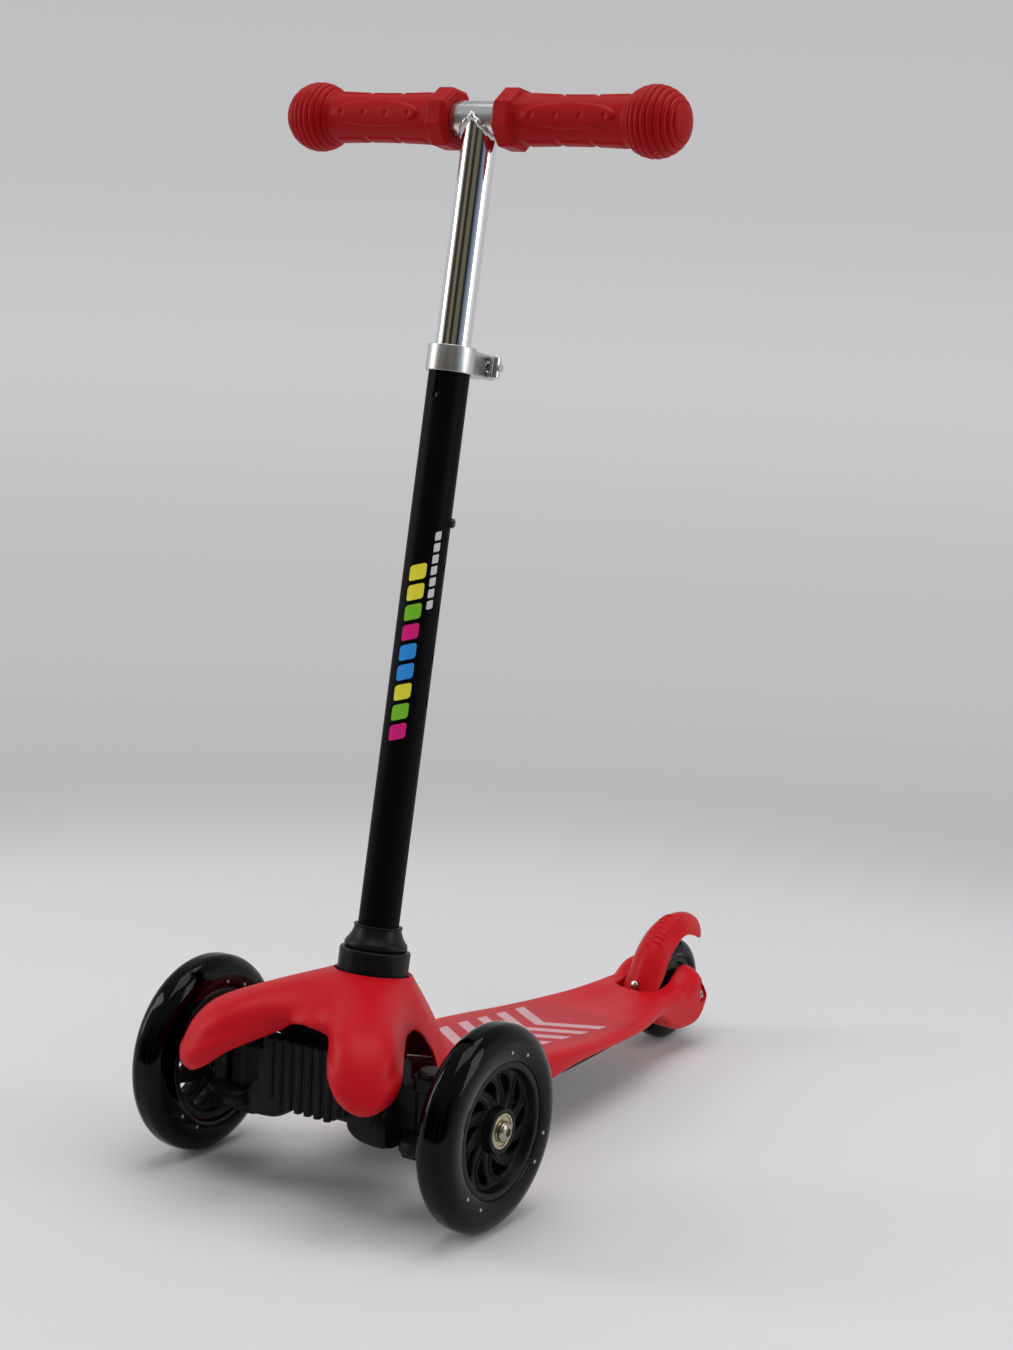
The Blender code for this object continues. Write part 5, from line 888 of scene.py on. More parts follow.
# The lower rim without its wings, from straight ahead: turn in degrees, reach and height
COVER_RIM = (
    (0, 0.0690, 0.1115), (10, 0.0670, 0.1085), (19, 0.0600, 0.0990), (26, 0.0550, 0.0835),
    (34, 0.0500, 0.0765), (42, 0.0470, 0.0820), (50, 0.0450, 0.0950), (60, 0.0420, 0.1020),
    (75, 0.0400, 0.1030), (93, 0.0400, 0.0930), (107, 0.0420, 0.0800), (114, 0.0440, 0.0660),
    (121, 0.0465, 0.0580), (150, 0.0600, 0.0572), (180, 0.0730, 0.0570),
)
WING_TURN, WING_HALF, WING_REACH, WING_BLEND = radians(34), 0.022, 0.120, 0.006
COVER_TOP_Z, COVER_HOLE_R, COVER_WALL = 0.1300, 0.0242, 0.0025
COVER_Y = AXLE_Y + 0.0268 + 0.0125 * tan(STEM_RAKE)


def cover_rim(azimuth):
    """Reach and height of the cover's lower rim at an azimuth from straight ahead."""
    radius, height = smooth_between(COVER_RIM, azimuth * 180 / pi)
    off = abs(azimuth - WING_TURN)
    end = WING_REACH - WING_HALF
    wing = 0
    if off < radians(60):
        side = WING_HALF / sin(off) if off > 0.01 else WING_REACH
        wing = side
        if end * sin(off) < WING_HALF:
            around = end * cos(off) + sqrt(WING_HALF**2 - (end * sin(off)) ** 2)
            wing = min(side, around) if off > 0.01 else around
    if wing > radius:
        radius = min(wing + WING_BLEND / (1 + (wing - radius) / 0.004), WING_REACH)
    else:
        radius = radius + WING_BLEND / (1 + (radius - wing) / 0.004)
    return radius, height


def edge_bevel(target, width):
    """Round an object's real edges a little."""
    edge = target.modifiers.new("edge", "BEVEL")
    edge.width, edge.segments, edge.limit_method, edge.angle_limit = width, 2, "ANGLE", radians(50)


def cover_moulding():
    """The shell, drawn as columns that run from the hole down to the rim and curl in below it."""
    half_count, up = 110, 26
    shares = [k / half_count for k in range(half_count + 1)]
    azimuths = [pi * (share - 0.30 * sin(2 * pi * share) / (2 * pi)) for share in shares]
    rings = []
    for azimuth in azimuths + [2 * pi - a for a in reversed(azimuths[1:-1])]:
        folded = min(azimuth, 2 * pi - azimuth)
        reach, rim_z = cover_rim(folded)
        wing = max(0.0, cos(min(abs(folded - WING_TURN) * 3.2, pi / 2)))
        back = min(1.0, max(0.0, (folded - radians(95)) / radians(30)))
        curl = 0.0070 * (0.12 + 0.88 * wing)
        curve, power = 2.1 + 0.1 * wing, 1.75 + 0.55 * wing
        curve, power = curve + (1.3 - curve) * back, power + (1.2 - power) * back
        low = rim_z + curl
        top = COVER_TOP_Z + COVER_HOLE_R * cos(azimuth) * tan(STEM_RAKE)
        column = []
        for step in range(up + 1):
            share = sin(pi / 2 * step / up) ** (2 / curve)
            z = low + (top - low) * max(0.0, 1 - share**curve) ** (1 / power)
            column.append((COVER_HOLE_R + (reach - COVER_HOLE_R) * share, z))
        for step in range(1, 5):
            turn = step / 4
            column.append((reach - 0.7 * curl * turn**2, rim_z + curl * (1 - turn)))
        rings.append([(r * sin(azimuth), COVER_Y - r * cos(azimuth), z) for r, z in column])
    bm = bmesh.new()
    rows = [[bm.verts.new(point) for point in ring] for ring in rings]
    for i in range(len(rows)):
        here, there = rows[i], rows[(i + 1) % len(rows)]
        for k in range(len(here) - 1):
            bm.faces.new((here[k], here[k + 1], there[k + 1], there[k]))
    made = shape("cover_moulding", bm, cover_red, 0)
    # The folds between wings and leg are eased; the hole and the lower edge keep their lines
    loose = made.vertex_groups.new(name="loose")
    per_row = up + 5
    for vertex in made.data.vertices:
        k = vertex.index % per_row
        out = hypot(vertex.co.x, vertex.co.y - COVER_Y)
        if 0 < k < up - 1:
            loose.add([vertex.index], 1 - 0.90 * soft(out, 0.066, 0.098), "REPLACE")
    fair = made.modifiers.new("fair", "SMOOTH")
    fair.factor, fair.iterations, fair.vertex_group = 0.5, 300, "loose"
    wall = made.modifiers.new("wall", "SOLIDIFY")
    wall.thickness, wall.offset = COVER_WALL, -1
    edge_bevel(made, 0.0005)
    return settled(applied(made), 60)


cover_red = shade("cover_red", (0.58, 0.0055, 0.013), 0.42, drift=0.03, drift_size=0.06, gloss_drift=0.05,
                  grain=0.00002, grain_size=0.0008)
cover = cover_moulding()
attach(cover, "frame")
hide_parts("front_cover")
dress(zinc_screw, "cover_screw_left", "cover_screw_right")

# Collar and ferrule. Two black nylon mouldings round the foot of the stem: the collar closes the
# cover's hole, and the flared ferrule sits on it with a glossy bead near its top.
STEM_PLACE = Matrix.Translation((0, -0.162855, 0.122)) @ Matrix.Rotation(-STEM_RAKE, 4, "X")
STEM_SOCKET_R = 0.01305
collar_nylon = shade("collar_nylon", (0.006, 0.006, 0.007), 0.36, grain=0.00004, grain_size=0.0006)
collar = lathed(eased([(STEM_SOCKET_R, 0.0004), (0.0218, 0.0004, 0.0008), (0.0220, 0.0215, 0.0010),
                       (0.0206, 0.0222, 0.0004), (STEM_SOCKET_R, 0.0222)]))
collar = shape("stem_collar", collar, collar_nylon, 35, STEM_PLACE)
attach(collar, "frame")
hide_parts("head_collar")
flare = [(STEM_SOCKET_R, 0.0225), (0.0190, 0.0225, 0.0005), (0.0196, 0.0238, 0.0008),
         (0.0194, 0.0258, 0.0010), (0.0176, 0.0280), (0.0162, 0.0302), (0.0152, 0.0326),
         (0.0146, 0.0347), (0.0145, 0.0352), (0.0151, 0.0355, 0.0003), (0.0151, 0.0367, 0.0004),
         (STEM_SOCKET_R, 0.0370)]
ferrule = shape("flared_ferrule", lathed(eased(flare)), collar_nylon, 35, STEM_PLACE)
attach(ferrule, "frame")
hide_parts("stem_ferrule")

# Lower tube and the clip in its foot. A 25.4 mm steel tube in matt black paint, slit at its top for
# the clamp; a run of bright printed blocks climbs its side. The clip is spring steel.
tube_black = shade("tube_black", (0.0020, 0.0021, 0.0023), 0.45, drift=0.08, gloss_drift=0.05, shine=0.05,
                   grain=0.00002, grain_size=0.0004)
OUTER_R, OUTER_BORE, OUTER_FOOT, OUTER_TOP = 0.0127, 0.0113, -0.0273, 0.3910
SLIT_HALF, SLIT_END, SLIT_END_R = 0.001, 0.3618, 0.0019
CLIP_HOLE_R, CLIP_HOLE_Z, CLIP_TURN = 0.0034, 0.0165, radians(270)
HEIGHT_HOLES, HEIGHT_TOP, HEIGHT_PITCH, HEIGHT_TURN = 5, 0.2860, 0.0275, radians(115)
outer = lathed(eased([(OUTER_BORE, OUTER_FOOT), (OUTER_R, OUTER_FOOT, 0.0003), (OUTER_R, OUTER_TOP, 0.0003),
                      (OUTER_BORE, OUTER_TOP)]), 96)
outer = shape("lower_tube", outer, tube_black, 0)


def drill(radius, near, far, azimuth, height, sides=24):
    """A round cutter that points away from the stem at an azimuth from the front."""
    bm = rod(radius, near, far, sides)
    bmesh.ops.rotate(bm, verts=bm.verts, cent=(0, 0, 0), matrix=Matrix.Rotation(pi / 2, 3, "X"))
    bmesh.ops.rotate(bm, verts=bm.verts, cent=(0, 0, 0), matrix=Matrix.Rotation(azimuth, 3, "Z"))
    bmesh.ops.translate(bm, verts=bm.verts, vec=(0, 0, height))
    return bm


slit = [(-SLIT_HALF, -0.03), (SLIT_HALF, -0.03), (SLIT_HALF, 0), (-SLIT_HALF, 0)]
holes = together(drill(CLIP_HOLE_R, 0.005, 0.02, CLIP_TURN, CLIP_HOLE_Z),
                 *[drill(CLIP_HOLE_R, 0.005, 0.02, HEIGHT_TURN, HEIGHT_TOP - HEIGHT_PITCH * k)
                   for k in range(HEIGHT_HOLES)])
carve(outer, [prism(slit, SLIT_END, 0.41), drill(SLIT_END_R, 0.006, 0.02, 0, SLIT_END), holes])
settled(outer, 35, STEM_PLACE)
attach(outer, "frame")
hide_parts("lower_stem_tube")
clip_black = shade("clip_black", (0.02, 0.02, 0.021), 0.34, metallic=0.6, drift=0.1, drift_size=0.004)
dress(clip_black, "stem_snap_clip")


def printed_block(outline, bm):
    """A thin print of an outline of (azimuth arc, height) points in metres, wrapped on the tube."""
    count = len(outline)
    middle = Vector((sum(a for a, h in outline) / count, sum(h for a, h in outline) / count))
    rows = []
    for radius in (OUTER_R + 0.00002, OUTER_R + 0.00010):
        rows.append([])
        for share in (0.0, 0.5, 1.0):
            ring = []
            for a, h in outline:
                p = middle + (Vector((a, h)) - middle) * max(share, 0.02)
                turn = p[0] / OUTER_R
                ring.append(bm.verts.new((radius * sin(turn), -radius * cos(turn), p[1])))
            rows[-1].append(ring)
    for row in rows:
        bm.faces.new(row[0])
        for inner_ring, outer_ring in zip(row, row[1:]):
            for k in range(count):
                after = (k + 1) % count
                bm.faces.new((inner_ring[k], inner_ring[after], outer_ring[after], outer_ring[k]))
    for k in range(count):
        after = (k + 1) % count
        bm.faces.new((rows[0][2][k], rows[0][2][after], rows[1][2][after], rows[1][2][k]))


def rounded_box(a0, a1, h0, h1, radius, slant):
    """A slanting block with rounded corners, its points close enough together to wrap on the tube."""
    corners = [(a0, h0, radius), (a1, h0 + slant, radius), (a1, h1 + slant, radius), (a0, h1, radius)]
    points = eased(corners, 5)
    made = []
    for k, point in enumerate(points):
        here, there = Vector(point), Vector(points[(k + 1) % len(points)])
        steps = max(1, int((there - here).length / 0.002))
        made += [tuple(here.lerp(there, step / steps)) for step in range(steps)]
    return made


PRINTS = {"print_pink": (0.74, 0.015, 0.22), "print_blue": (0.03, 0.30, 0.80),
          "print_yellow": (0.86, 0.78, 0.05), "print_green": (0.20, 0.55, 0.03),
          "print_grey": (0.60, 0.61, 0.62)}
bands = {name: bmesh.new() for name in PRINTS}
tints = ("print_pink", "print_blue", "print_yellow", "print_green")
# Nine large blocks in four colours and seven small grey ones beside them: foot of the run, height and pitch
LARGE_FOOT, LARGE_HIGH, LARGE_PITCH = 0.1500, 0.0095, 0.0122
SMALL_FOOT, SMALL_HIGH, SMALL_PITCH = 0.2320, 0.0052, 0.0070
foot = LARGE_FOOT
for k in range(9):
    tint = tints[(k * 3 + k // 4) % 4]
    printed_block(rounded_box(-0.0015, 0.0090, foot, foot + LARGE_HIGH, 0.0022, 0.0035), bands[tint])
    foot += LARGE_PITCH
foot = SMALL_FOOT
for k in range(7):
    printed_block(rounded_box(0.0118, 0.0158, foot, foot + SMALL_HIGH, 0.0008, 0.0014), bands["print_grey"])
    foot += SMALL_PITCH
for name, bm in bands.items():
    ink = shade(name + "_ink", PRINTS[name], 0.38, drift=0.04, drift_size=0.004)
    band = shape(name + "_blocks", bm, ink, 30, STEM_PLACE)
    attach(band, "frame")

# Upper tube, crossbar, weld and height clip. Two 22.2 mm chromed steel tubes are joined in a T by a
# rough bright weld; the clip's button springs out through the holes of the tube below.
BAR_PLACE = STEM_PLACE @ Matrix.Translation((0, 0, 0.5306))
BAR_R, BAR_BORE, BAR_HALF, UPPER_FOOT = 0.0111, 0.0096, 0.118, -0.2901
chrome = shade("chrome", (0.80, 0.81, 0.83), 0.07, metallic=1.0, drift=0.02, drift_size=0.02,
               gloss_drift=0.05)
bar_chrome = shade("bar_chrome", (0.78, 0.79, 0.80), 0.22, metallic=1.0, drift=0.04, drift_size=0.004,
                   gloss_drift=0.12, grain=0.000008, grain_size=0.0004, stretch=(0.1, 1, 1))
weld_metal = shade("weld_metal", (0.66, 0.66, 0.66), 0.38, metallic=1.0, drift=0.2, drift_size=0.002,
                   grain=0.00015, grain_size=0.0010)
rings = []
for k in range(96):
    turn = 2 * pi * k / 96
    c, s = cos(turn), sin(turn)
    top_out = -sqrt(max(0.0, (BAR_R + 0.0003) ** 2 - (BAR_R * s) ** 2))
    top_in = -sqrt(max(0.0, (BAR_R + 0.0003) ** 2 - (BAR_BORE * s) ** 2))
    rings.append([(BAR_BORE * c, BAR_BORE * s, UPPER_FOOT), (BAR_R * c, BAR_R * s, UPPER_FOOT),
                  (BAR_R * c, BAR_R * s, top_out), (BAR_BORE * c, BAR_BORE * s, top_in)])
upper = shape("upper_tube", skinned(rings, closed=True), chrome, 35, BAR_PLACE)
bar = lathed(eased([(BAR_BORE, -BAR_HALF), (BAR_R, -BAR_HALF, 0.0003), (BAR_R, BAR_HALF, 0.0003),
                    (BAR_BORE, BAR_HALF)]))
bar = shape("bar_tube", bar, bar_chrome, 35, BAR_PLACE @ Matrix.Rotation(pi / 2, 4, "Y"))
# The weld's bead follows the joint, and small waves make it uneven
WELD_THICK = 0.0016
bead = []
for k in range(120):
    turn = 2 * pi * k / 120
    c, s = cos(turn), sin(turn)
    centre = Vector((BAR_R * c, BAR_R * s, -sqrt(max(0.0, BAR_R**2 - (BAR_R * s) ** 2))))
    outward = Vector((c, s, -0.75)).normalized()
    thick = WELD_THICK + 0.00035 * sin(15 * turn) + 0.00018 * sin(37 * turn + 1.3)
    middle = centre + outward * 0.0002
    across = Vector((-s, c, 0))
    side_way = outward.cross(across).normalized()
    bead.append([tuple(middle + outward * thick * cos(a) + side_way * 1.5 * thick * sin(a))
                 for a in (2 * pi * i / 16 for i in range(16))])
bead = shape("t_weld", skinned(bead, closed=True), weld_metal, 0, BAR_PLACE)
for made, node in ((upper, "upper_stem_tube"), (bar, "crossbar"), (bead, None)):
    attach(made, "handlebar")
    if node:
        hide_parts(node)
dress(clip_black, "height_snap_clip")

# Clamp. A brushed aluminium ring with two ears behind the tube; a steel bolt with a barrel nut and
# a cam lever pull the ears together on a plastic washer.
CLAMP_PLACE = STEM_PLACE @ Matrix.Translation((0, 0, 0.3845))
clamp_metal = shade("clamp_metal", (0.58, 0.585, 0.59), 0.36, metallic=1.0, drift=0.10, drift_size=0.006,
                    gloss_drift=0.12, grain=0.00002, grain_size=0.004, stretch=(1, 1, 12))
RING_BORE, RING_R, RING_HALF, NOTCH_HALF, CLAMP_BOLT_R = 0.0130, 0.0150, 0.0080, 0.00325, 0.0028
BOLT_Y, EAR_OUT, EAR_IN_Y, EAR_BACK_Y, EAR_HALF = 0.0285, 0.0095, 0.0095, 0.0370, 0.00725
ring = lathed(eased([(RING_BORE, -RING_HALF, 0.0003), (RING_R, -RING_HALF, 0.0006),
                     (RING_R, RING_HALF, 0.0006), (RING_BORE, RING_HALF, 0.0003)]))
ring = shape("clamp_ring", ring, clamp_metal, 0)
ear = eased([(-EAR_OUT, EAR_IN_Y), (EAR_OUT, EAR_IN_Y), (EAR_OUT, EAR_BACK_Y, 0.003),
             (-EAR_OUT, EAR_BACK_Y, 0.003)], 6)
carve(ring, [prism(ear, -EAR_HALF, EAR_HALF)], "UNION")
notch_front = BOLT_Y - NOTCH_HALF
notch = [(notch_front, -NOTCH_HALF), (0.06, -NOTCH_HALF), (0.06, NOTCH_HALF), (notch_front, NOTCH_HALF)]
gap = [(-SLIT_HALF, 0), (SLIT_HALF, 0), (SLIT_HALF, 0.06), (-SLIT_HALF, 0.06)]
carve(ring, [rod(RING_BORE, -0.02, 0.02, 96), prism(gap, -0.02, 0.02), prism(notch, 0.0, 0.03, "X"),
             moved(rod(CLAMP_BOLT_R, -0.03, 0.0, 24), along_x(0, BOLT_Y, 0))])
edge_bevel(ring, 0.0004)
settled(applied(ring), 40, CLAMP_PLACE)
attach(ring, "frame")
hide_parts("clamp_collar")
dress(plated_bolt, "clamp_bolt", "clamp_cam_pin")
CAM_X, CAM_R, PIN_HOLE_R = -0.0179, 0.0055, 0.0025
lever = rod(CAM_R, -EAR_HALF, EAR_HALF)
bmesh.ops.translate(lever, verts=lever.verts, vec=(CAM_X + 0.0008, BOLT_Y, 0))
lever = shape("cam_lever", lever, clamp_metal, 0)
blade = eased([(-0.0226, BOLT_Y), (-0.0226, 0.0112, 0.004), (-0.0220, 0.0078, 0.001),
               (-0.0196, 0.0078, 0.001), (-0.0191, 0.0205, 0.003), (-0.0171, BOLT_Y)], 5)
carve(lever, [prism(blade, 0.0010 - EAR_HALF, EAR_HALF - 0.0010)], "UNION")
pin_hole = rod(PIN_HOLE_R, -0.02, 0.02, 32)
bmesh.ops.translate(pin_hole, verts=pin_hole.verts, vec=(CAM_X, BOLT_Y, 0))
# Room for the bolt, all the way round as the lever swings open
fork = [(CAM_X - 0.0035, 0.0085), (0.0, 0.0085), (0.0, 0.0485), (CAM_X - 0.0080, 0.0485),
        (CAM_X - 0.0080, BOLT_Y - 0.0010), (CAM_X - 0.0035, BOLT_Y - 0.0010)]
carve(lever, [pin_hole, prism(fork, -0.0030, 0.0030)])
edge_bevel(lever, 0.0004)
settled(applied(lever), 40, CLAMP_PLACE)
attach(lever, "clamp_lever")
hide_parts("clamp_lever")
dress(collar_nylon, "clamp_washer")
NUT_R, NUT_HALF, NUT_X = 0.0036, 0.0065, 0.0134
nut = lathed(eased([(0, -NUT_HALF), (NUT_R, -NUT_HALF, 0.0005), (NUT_R, NUT_HALF, 0.0005),
                    (0, NUT_HALF)]), 60)
nut = shape("barrel_nut", nut, plated_bolt, 35, CLAMP_PLACE @ Matrix.Translation((NUT_X, BOLT_Y, 0)))
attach(nut, "frame")
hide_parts("clamp_barrel_nut")

# Grips. Red rubber mouldings pushed on to the bar: an octagonal flange, a waisted body with a long
# dimpled pad on its front and three short pads above and below, and a ball with rings and a cap.
grip_rubber = shade("grip_rubber", (0.37, 0.0022, 0.004), 0.44, drift=0.05, drift_size=0.03,
                    gloss_drift=0.08, shine=0.12, grain=0.00003, grain_size=0.0005)
BALL_X, BALL_R, BODY_R, CAP_R = 0.1215, 0.0215, 0.0150, 0.0118
# Along the bar: the flange, the waisted body and its end, its long pad, the end of the bore and of the grip
FLANGE_X, BODY_X, WAIST_END_X, PAD_X, BORE_END_X, GRIP_END_X = 0.0170, 0.0320, 0.1061, 0.0698, 0.1195, 0.1420
PAD_HALF_X, PAD_HALF_WIDE, SHORT_PADS_X = 0.033, 0.0085, (0.0465, 0.0700, 0.0935)
RINGS, RING_DEEP = 9, 0.0011


def grip_outline():
    """Points of (place along the bar, radius), with the rings cut into the ball."""
    body_end = BALL_X - sqrt(BALL_R**2 - BODY_R**2)
    points = [(FLANGE_X + (BODY_X - FLANGE_X) * k / 24, None) for k in range(25)]
    points += [(BODY_X + (body_end - BODY_X) * k / 120, None) for k in range(1, 121)]
    start = acos((body_end - BALL_X) / BALL_R)
    end = asin(CAP_R / BALL_R)
    for k in range(1, 145):
        share = k / 144
        turn = start + (end - start) * share
        cut = RING_DEEP * (1 - abs(sin(pi * RINGS * share)) ** 0.6) * soft(share, 0.0, 0.03)
        radius = BALL_R - cut
        points.append((BALL_X + radius * cos(turn), radius * sin(turn)))
    edge = points[-1][0] + 0.0003
    points.append((edge, CAP_R - 0.0006))
    for k in range(1, 13):
        turn = pi / 2 * k / 12
        points.append((edge + (GRIP_END_X - edge) * sin(turn), (CAP_R - 0.0006) * cos(turn)))
    return points


def grip_radius(x, turn):
    """Radius of the flange and body at a place along the bar and an angle from the front pad."""
    if x <= BODY_X:
        corner = (turn + pi / 8) % (pi / 4) - pi / 8
        across = 0.01775 - 0.0022 * (1 - soft(x, FLANGE_X, 0.0192)) - 0.0032 * soft(x, 0.0290, BODY_X)
        octagon = across / cos(corner)
        return octagon + (BODY_R - octagon) * soft(x, 0.0306, BODY_X)
    share = (x - BODY_X) / (WAIST_END_X - BODY_X)
    radius = BODY_R - 0.0008 * sin(pi * share)
    fold = (turn + pi) % (2 * pi) - pi
    long_pad = hypot((x - PAD_X) / PAD_HALF_X, fold * BODY_R / PAD_HALF_WIDE)
    radius += 0.0013 * (1 - soft(long_pad, 0.88, 1.02))
    for k in range(4):
        away = hypot(x - PAD_X - 0.0205 * (k - 1.5) * 0.82, fold * BODY_R)
        radius -= 0.0007 * (1 - soft(away, 0.0006, 0.0021))
    for middle in (pi / 2, -pi / 2, pi):
        off = abs((turn - middle + pi) % (2 * pi) - pi) * BODY_R
        for pad in SHORT_PADS_X:
            inside = max(abs(x - pad) - 0.0100, off - 0.0062)
            radius += 0.0010 * (1 - soft(inside, -0.0012, 0.0004))
    return radius


for side, tag in ((1, "left"), (-1, "right")):
    place = BAR_PLACE @ Matrix.Rotation(side * pi / 2, 4, "Y")
    bore = BAR_R + 0.0003
    sides = 128
    outline = grip_outline()
    rings = []
    for k in range(sides):
        angle = 2 * pi * k / sides
        ring_points = []
        for x, radius in outline:
            r = grip_radius(x, angle + pi / 2) if radius is None else radius
            ring_points.append((r * cos(angle), r * sin(angle), x))
        for r, x in ((0.0, GRIP_END_X), (0.0, BORE_END_X), (bore, BORE_END_X), (bore, FLANGE_X)):
            ring_points.append((r * cos(angle), r * sin(angle), x))
        rings.append(ring_points)
    bm = skinned(rings, closed=True)
    bmesh.ops.remove_doubles(bm, verts=bm.verts, dist=1e-6)
    grip = shape("rubber_grip_" + tag, bm, grip_rubber, 45, place)
    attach(grip, "handlebar")
    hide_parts("grip_" + tag)

# Rear wheel. A narrower smoky tyre on a plain black core, with its two bearings, turns on a long
# bolt through the fork; the bolt's head and its nut sit in oval recesses.
REAR_PLACE = Matrix.Translation((0, REAR_AXLE_Y, REAR_AXLE_Z)) @ Matrix.Rotation(pi / 2, 4, "Y")
REAR_TYRE_R, REAR_TYRE_HALF, REAR_CORE_R, REAR_FLANGE_R = 0.0375, 0.010, 0.0250, 0.0280
tyre = lathed(tyre_outline(REAR_TYRE_R, REAR_TYRE_HALF, REAR_CORE_R + 0.0003, REAR_FLANGE_R), 112)
tyre = shape("rear_tyre_cast", tyre, smoky_urethane, 60, REAR_PLACE)
right = [(REAR_FLANGE_R - 0.0003, 0.0015, 0.0004), (REAR_CORE_R, 0.0015), (REAR_CORE_R, 0.0086, 0.0005),
         (0.0208, 0.0086, 0.0010), (0.0194, WEB_HALF, 0.0012), (HUB_R + 0.001, WEB_HALF, 0.0010),
         (HUB_R, HUB_OUT, 0.0008), (BEARING_R + 0.0003, HUB_OUT, 0.0003)]
core = shape("rear_core_moulding", lathed(eased(mirrored(right)), 112), core_nylon, 38, REAR_PLACE)
for made, node, slot_name in ((tyre, "rear_tyre", "smoky_tyre"), (core, "rear_core", "black_nylon")):
    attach(made, "rear_wheel")
    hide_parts(node)
bearing_pair("rear_%s_race", "rear_bearing_%s", "rear_wheel", REAR_PLACE)
REAR_HEAD_R, REAR_SOCKET_R, REAR_NUT_R = 0.0042, 0.0020, 0.0044
seat = CHEEK_OUTER - RECESS_DEPTH + 0.0003
bolt = button_bolt("rear_bolt", plated_bolt, seat, -seat - 0.0036, REAR_HEAD_R, REAR_SOCKET_R, 0.0016,
                   REAR_PLACE)
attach(bolt, "frame")
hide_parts("rear_axle_bolt")
nut = lathed(eased([(0.0039, seat), (REAR_NUT_R, seat, 0.0003), (REAR_NUT_R, seat + 0.0030, 0.0006),
                    (0.0039, seat + 0.0034)]), 48)
nut = shape("rear_nut", nut, plated_bolt, 35, REAR_PLACE @ Matrix.Rotation(pi, 4, "X"))
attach(nut, "frame")
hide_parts("rear_axle_nut")

# Brake fender, its pin, spring and rivet. A crowned red strip bends over the rear wheel, with cross
# ribs for the heel; it turns on a steel pin in the fork, and a small coil holds it off the tyre.
FENDER_HALF, FENDER_WALL, TAIL_TURN = 0.0145, 0.0020, radians(127)
# Turn round the wheel's centre from straight ahead, in degrees, and the crown's radius there
FENDER_RISE = ((-14, 0.0424), (0, 0.0422), (20, 0.0424), (40, 0.0437), (60, 0.0464), (80, 0.0504),
               (100, 0.0551), (120, 0.0592), (137, 0.0612))
PIN_Y, PIN_Z, PIN_R, PIN_HALF = REAR_AXLE_Y - 0.0497, 0.0360, 0.0022, 0.0235
BARREL_R, BARREL_BORE, BARREL_IN, BARREL_OUT = 0.0046, 0.0025, 0.0052, 0.0110
# The heel's ribs: where they start and end, in degrees, how many they are and how high
RIB_FIRST, RIB_LAST, RIBS, RIB_RISE = 58, 98, 7, 0.0009
fender_red = shade("fender_red", (0.54, 0.0045, 0.010), 0.36, drift=0.04, drift_size=0.04, gloss_drift=0.05)


def fender_radius(turn):
    """Radius of the fender's crown at a turn round the wheel."""
    return smooth_between(FENDER_RISE, turn * 180 / pi)[0]


def fender_sag(turn):
    """How far the strip's edges lie below its crown: little in the fork, more over the wheel and the tail."""
    return 0.0020 + 0.0074 * soft(turn, 0.0, radians(32)) + 0.0065 * soft(turn, radians(84), radians(124))


def fender_strip():
    """The arched strip, drawn as sections across it from its foot to its tail."""
    rings = []
    first, steps = radians(-14), 240
    for k in range(steps + 1):
        turn = first + (TAIL_TURN - first) * sin(pi / 2 * k / steps) ** 0.9
        radius = fender_radius(turn)
        tail = max(0.0, (turn - radians(121)) / (TAIL_TURN - radians(121)))
        half = FENDER_HALF * (0.84 + 0.16 * sqrt(max(0.0, 1 - tail**3)))
        sag = fender_sag(turn)
        degrees = turn * 180 / pi
        lift = 0.0
        if RIB_FIRST < degrees < RIB_LAST:
            wave = ((degrees - RIB_FIRST) / (RIB_LAST - RIB_FIRST) * RIBS) % 1
            lift = RIB_RISE * soft(wave, 0.0, 0.28) * (1 - soft(wave, 0.62, 0.95))
        ring_points = []
        for share in [-1 + 2 * i / 24 for i in range(25)]:
            edge = max(0.0, abs(share) - 0.88) / 0.12
            rib = lift * (1 - soft(abs(share), 0.50, 0.66))
            x = share * half
            ring_points.append((x, radius - sag * (x / FENDER_HALF)**2 - 0.0006 * edge**2 + rib))
        for share in [1 - 2 * i / 16 for i in range(17)]:
            x = share * (half - 0.0003)
            ring_points.append((x, radius - FENDER_WALL - sag * (x / FENDER_HALF)**2))
        rings.append([(x, REAR_AXLE_Y - r * cos(turn), REAR_AXLE_Z + r * sin(turn)) for x, r in ring_points])
    return skinned(rings)


parts = [fender_strip()]
for side in (-1, 1):
    low, high = sorted((side * BARREL_IN, side * BARREL_OUT))
    barrel = lathed(eased([(BARREL_BORE, low), (BARREL_R, low, 0.0004), (BARREL_R, high, 0.0004),
                           (BARREL_BORE, high)]), 48)
    parts.append(moved(barrel, along_x(0, PIN_Y, PIN_Z)))
    face = REAR_AXLE_Y - fender_radius(0) + 0.0016
    foot = [(PIN_Y - 0.001, PIN_Z - 0.0036), (PIN_Y + 0.004, PIN_Z - 0.001), (face, PIN_Z + 0.003),
            (face + 0.0008, PIN_Z + 0.008), (face - 0.0015, PIN_Z + 0.009), (PIN_Y + 0.001, PIN_Z + 0.004)]
    parts.append(prism(foot, low, high, "X"))
fender = shape("fender_strip", together(*parts), fender_red, 45)
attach(fender, "brake")
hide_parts("brake_fender")
RIVET_X, RIVET_TURN, RIVET_R, RIVET_SHANK_R = -0.0025, radians(14), 0.0030, 0.0013
share = RIVET_X / FENDER_HALF
radius = fender_radius(RIVET_TURN) - fender_sag(RIVET_TURN) * share**2
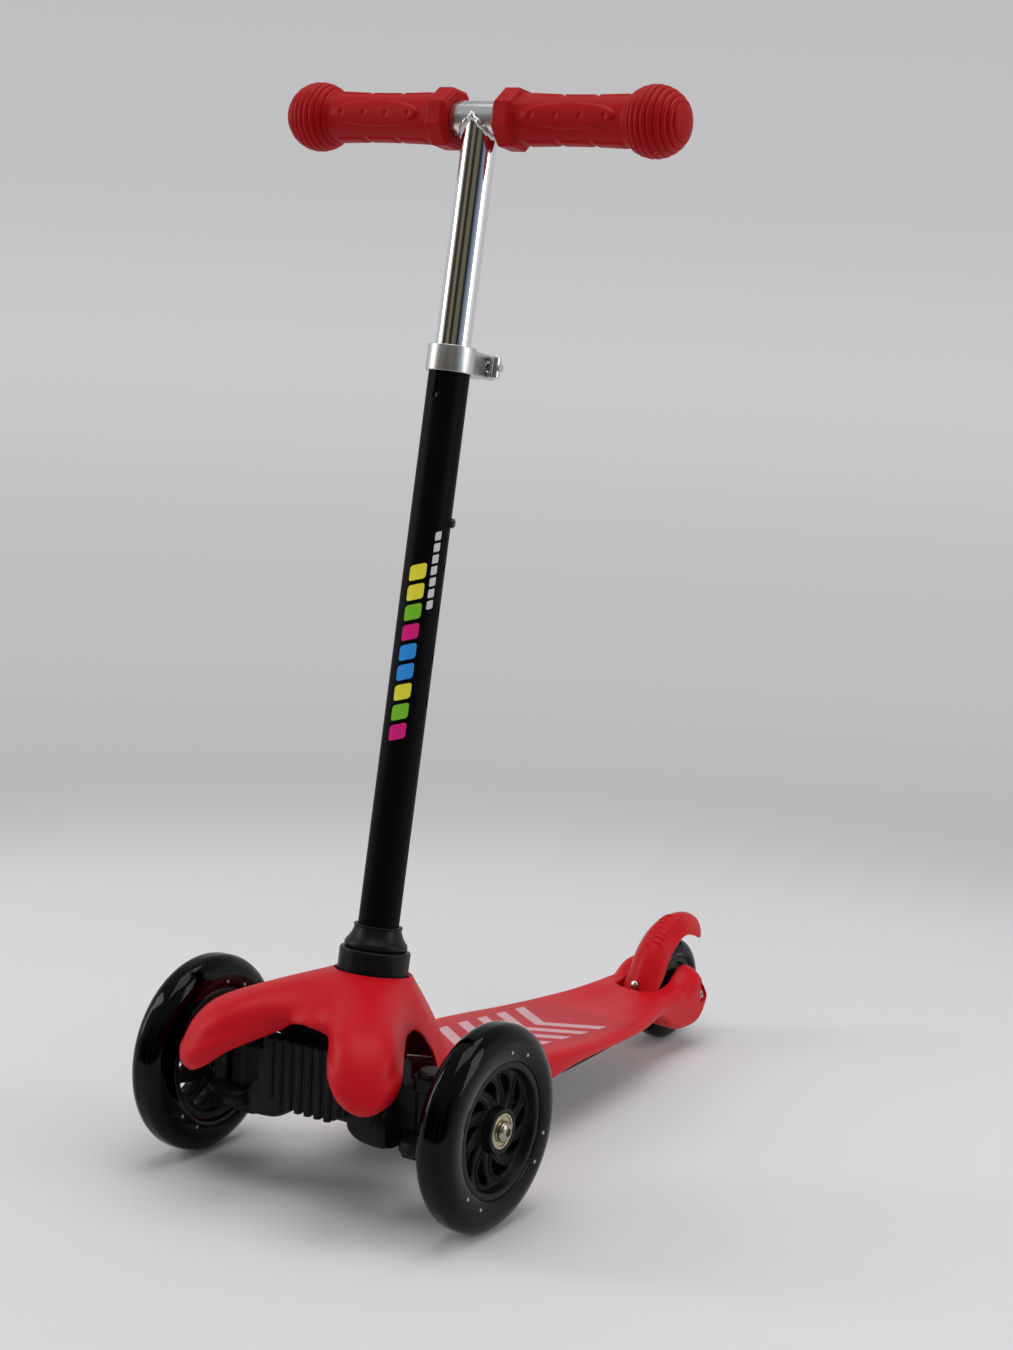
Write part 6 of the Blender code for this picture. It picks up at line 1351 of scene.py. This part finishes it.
head = [(0, -0.0028), (RIVET_SHANK_R, -0.0028), (RIVET_SHANK_R, 0.0004), (RIVET_R, 0.0004), (RIVET_R, 0.0009)]
head += [(RIVET_R * cos(a), 0.0009 + 0.0013 * sin(a)) for a in (radians(15 * k) for k in range(1, 7))]
lean = atan2(2 * fender_sag(RIVET_TURN) * share, FENDER_HALF)
place = Matrix.Translation((RIVET_X, REAR_AXLE_Y - radius * cos(RIVET_TURN),
                            REAR_AXLE_Z + radius * sin(RIVET_TURN)))
place = place @ Matrix.Rotation(pi / 2 - RIVET_TURN, 4, "X") @ Matrix.Rotation(lean, 4, "Y")
rivet = shape("fender_rivet", lathed(head, 48), plated_bolt, 35, place)
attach(rivet, "brake")
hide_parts("brake_rivet")
pin = lathed(eased([(0, -PIN_HALF), (PIN_R, -PIN_HALF, 0.0003), (PIN_R, PIN_HALF, 0.0003),
                    (0, PIN_HALF)]), 48)
pin = shape("fender_pin", pin, plated_bolt, 35, along_x(0, PIN_Y, PIN_Z))
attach(pin, "frame")
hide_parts("brake_pivot_pin")
# The spring: three turns round the pin between the barrels, one leg on the pocket's wall, one on the fender
COIL_R, COIL_WIRE, COIL_TURNS = 0.0040, 0.0006, 3
half = BARREL_IN - 0.0003 - COIL_WIRE
foot_turn = radians(-11)
near = fender_radius(foot_turn)
foot_leg = (REAR_AXLE_Y - near * cos(foot_turn) - 0.0009 - PIN_Y, REAR_AXLE_Z + near * sin(foot_turn) - PIN_Z)
leave = atan2(foot_leg[1], foot_leg[0]) + acos(COIL_R / hypot(*foot_leg))
sweep = 2 * pi * COIL_TURNS + pi / 2 - leave
coil_points = [(-half, SLOT_FRONT_Y + 0.0009, PIN_Z + COIL_R)]
for k in range(97):
    turn = pi / 2 - sweep * k / 96
    coil_points.append((-half + 2 * half * k / 96, PIN_Y + COIL_R * cos(turn), PIN_Z + COIL_R * sin(turn)))
coil_points.append((half, PIN_Y + foot_leg[0], PIN_Z + foot_leg[1]))
coil = wound("fender_spring", coil_points, COIL_WIRE, spring_oil)
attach(coil, "frame")
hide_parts("brake_spring")
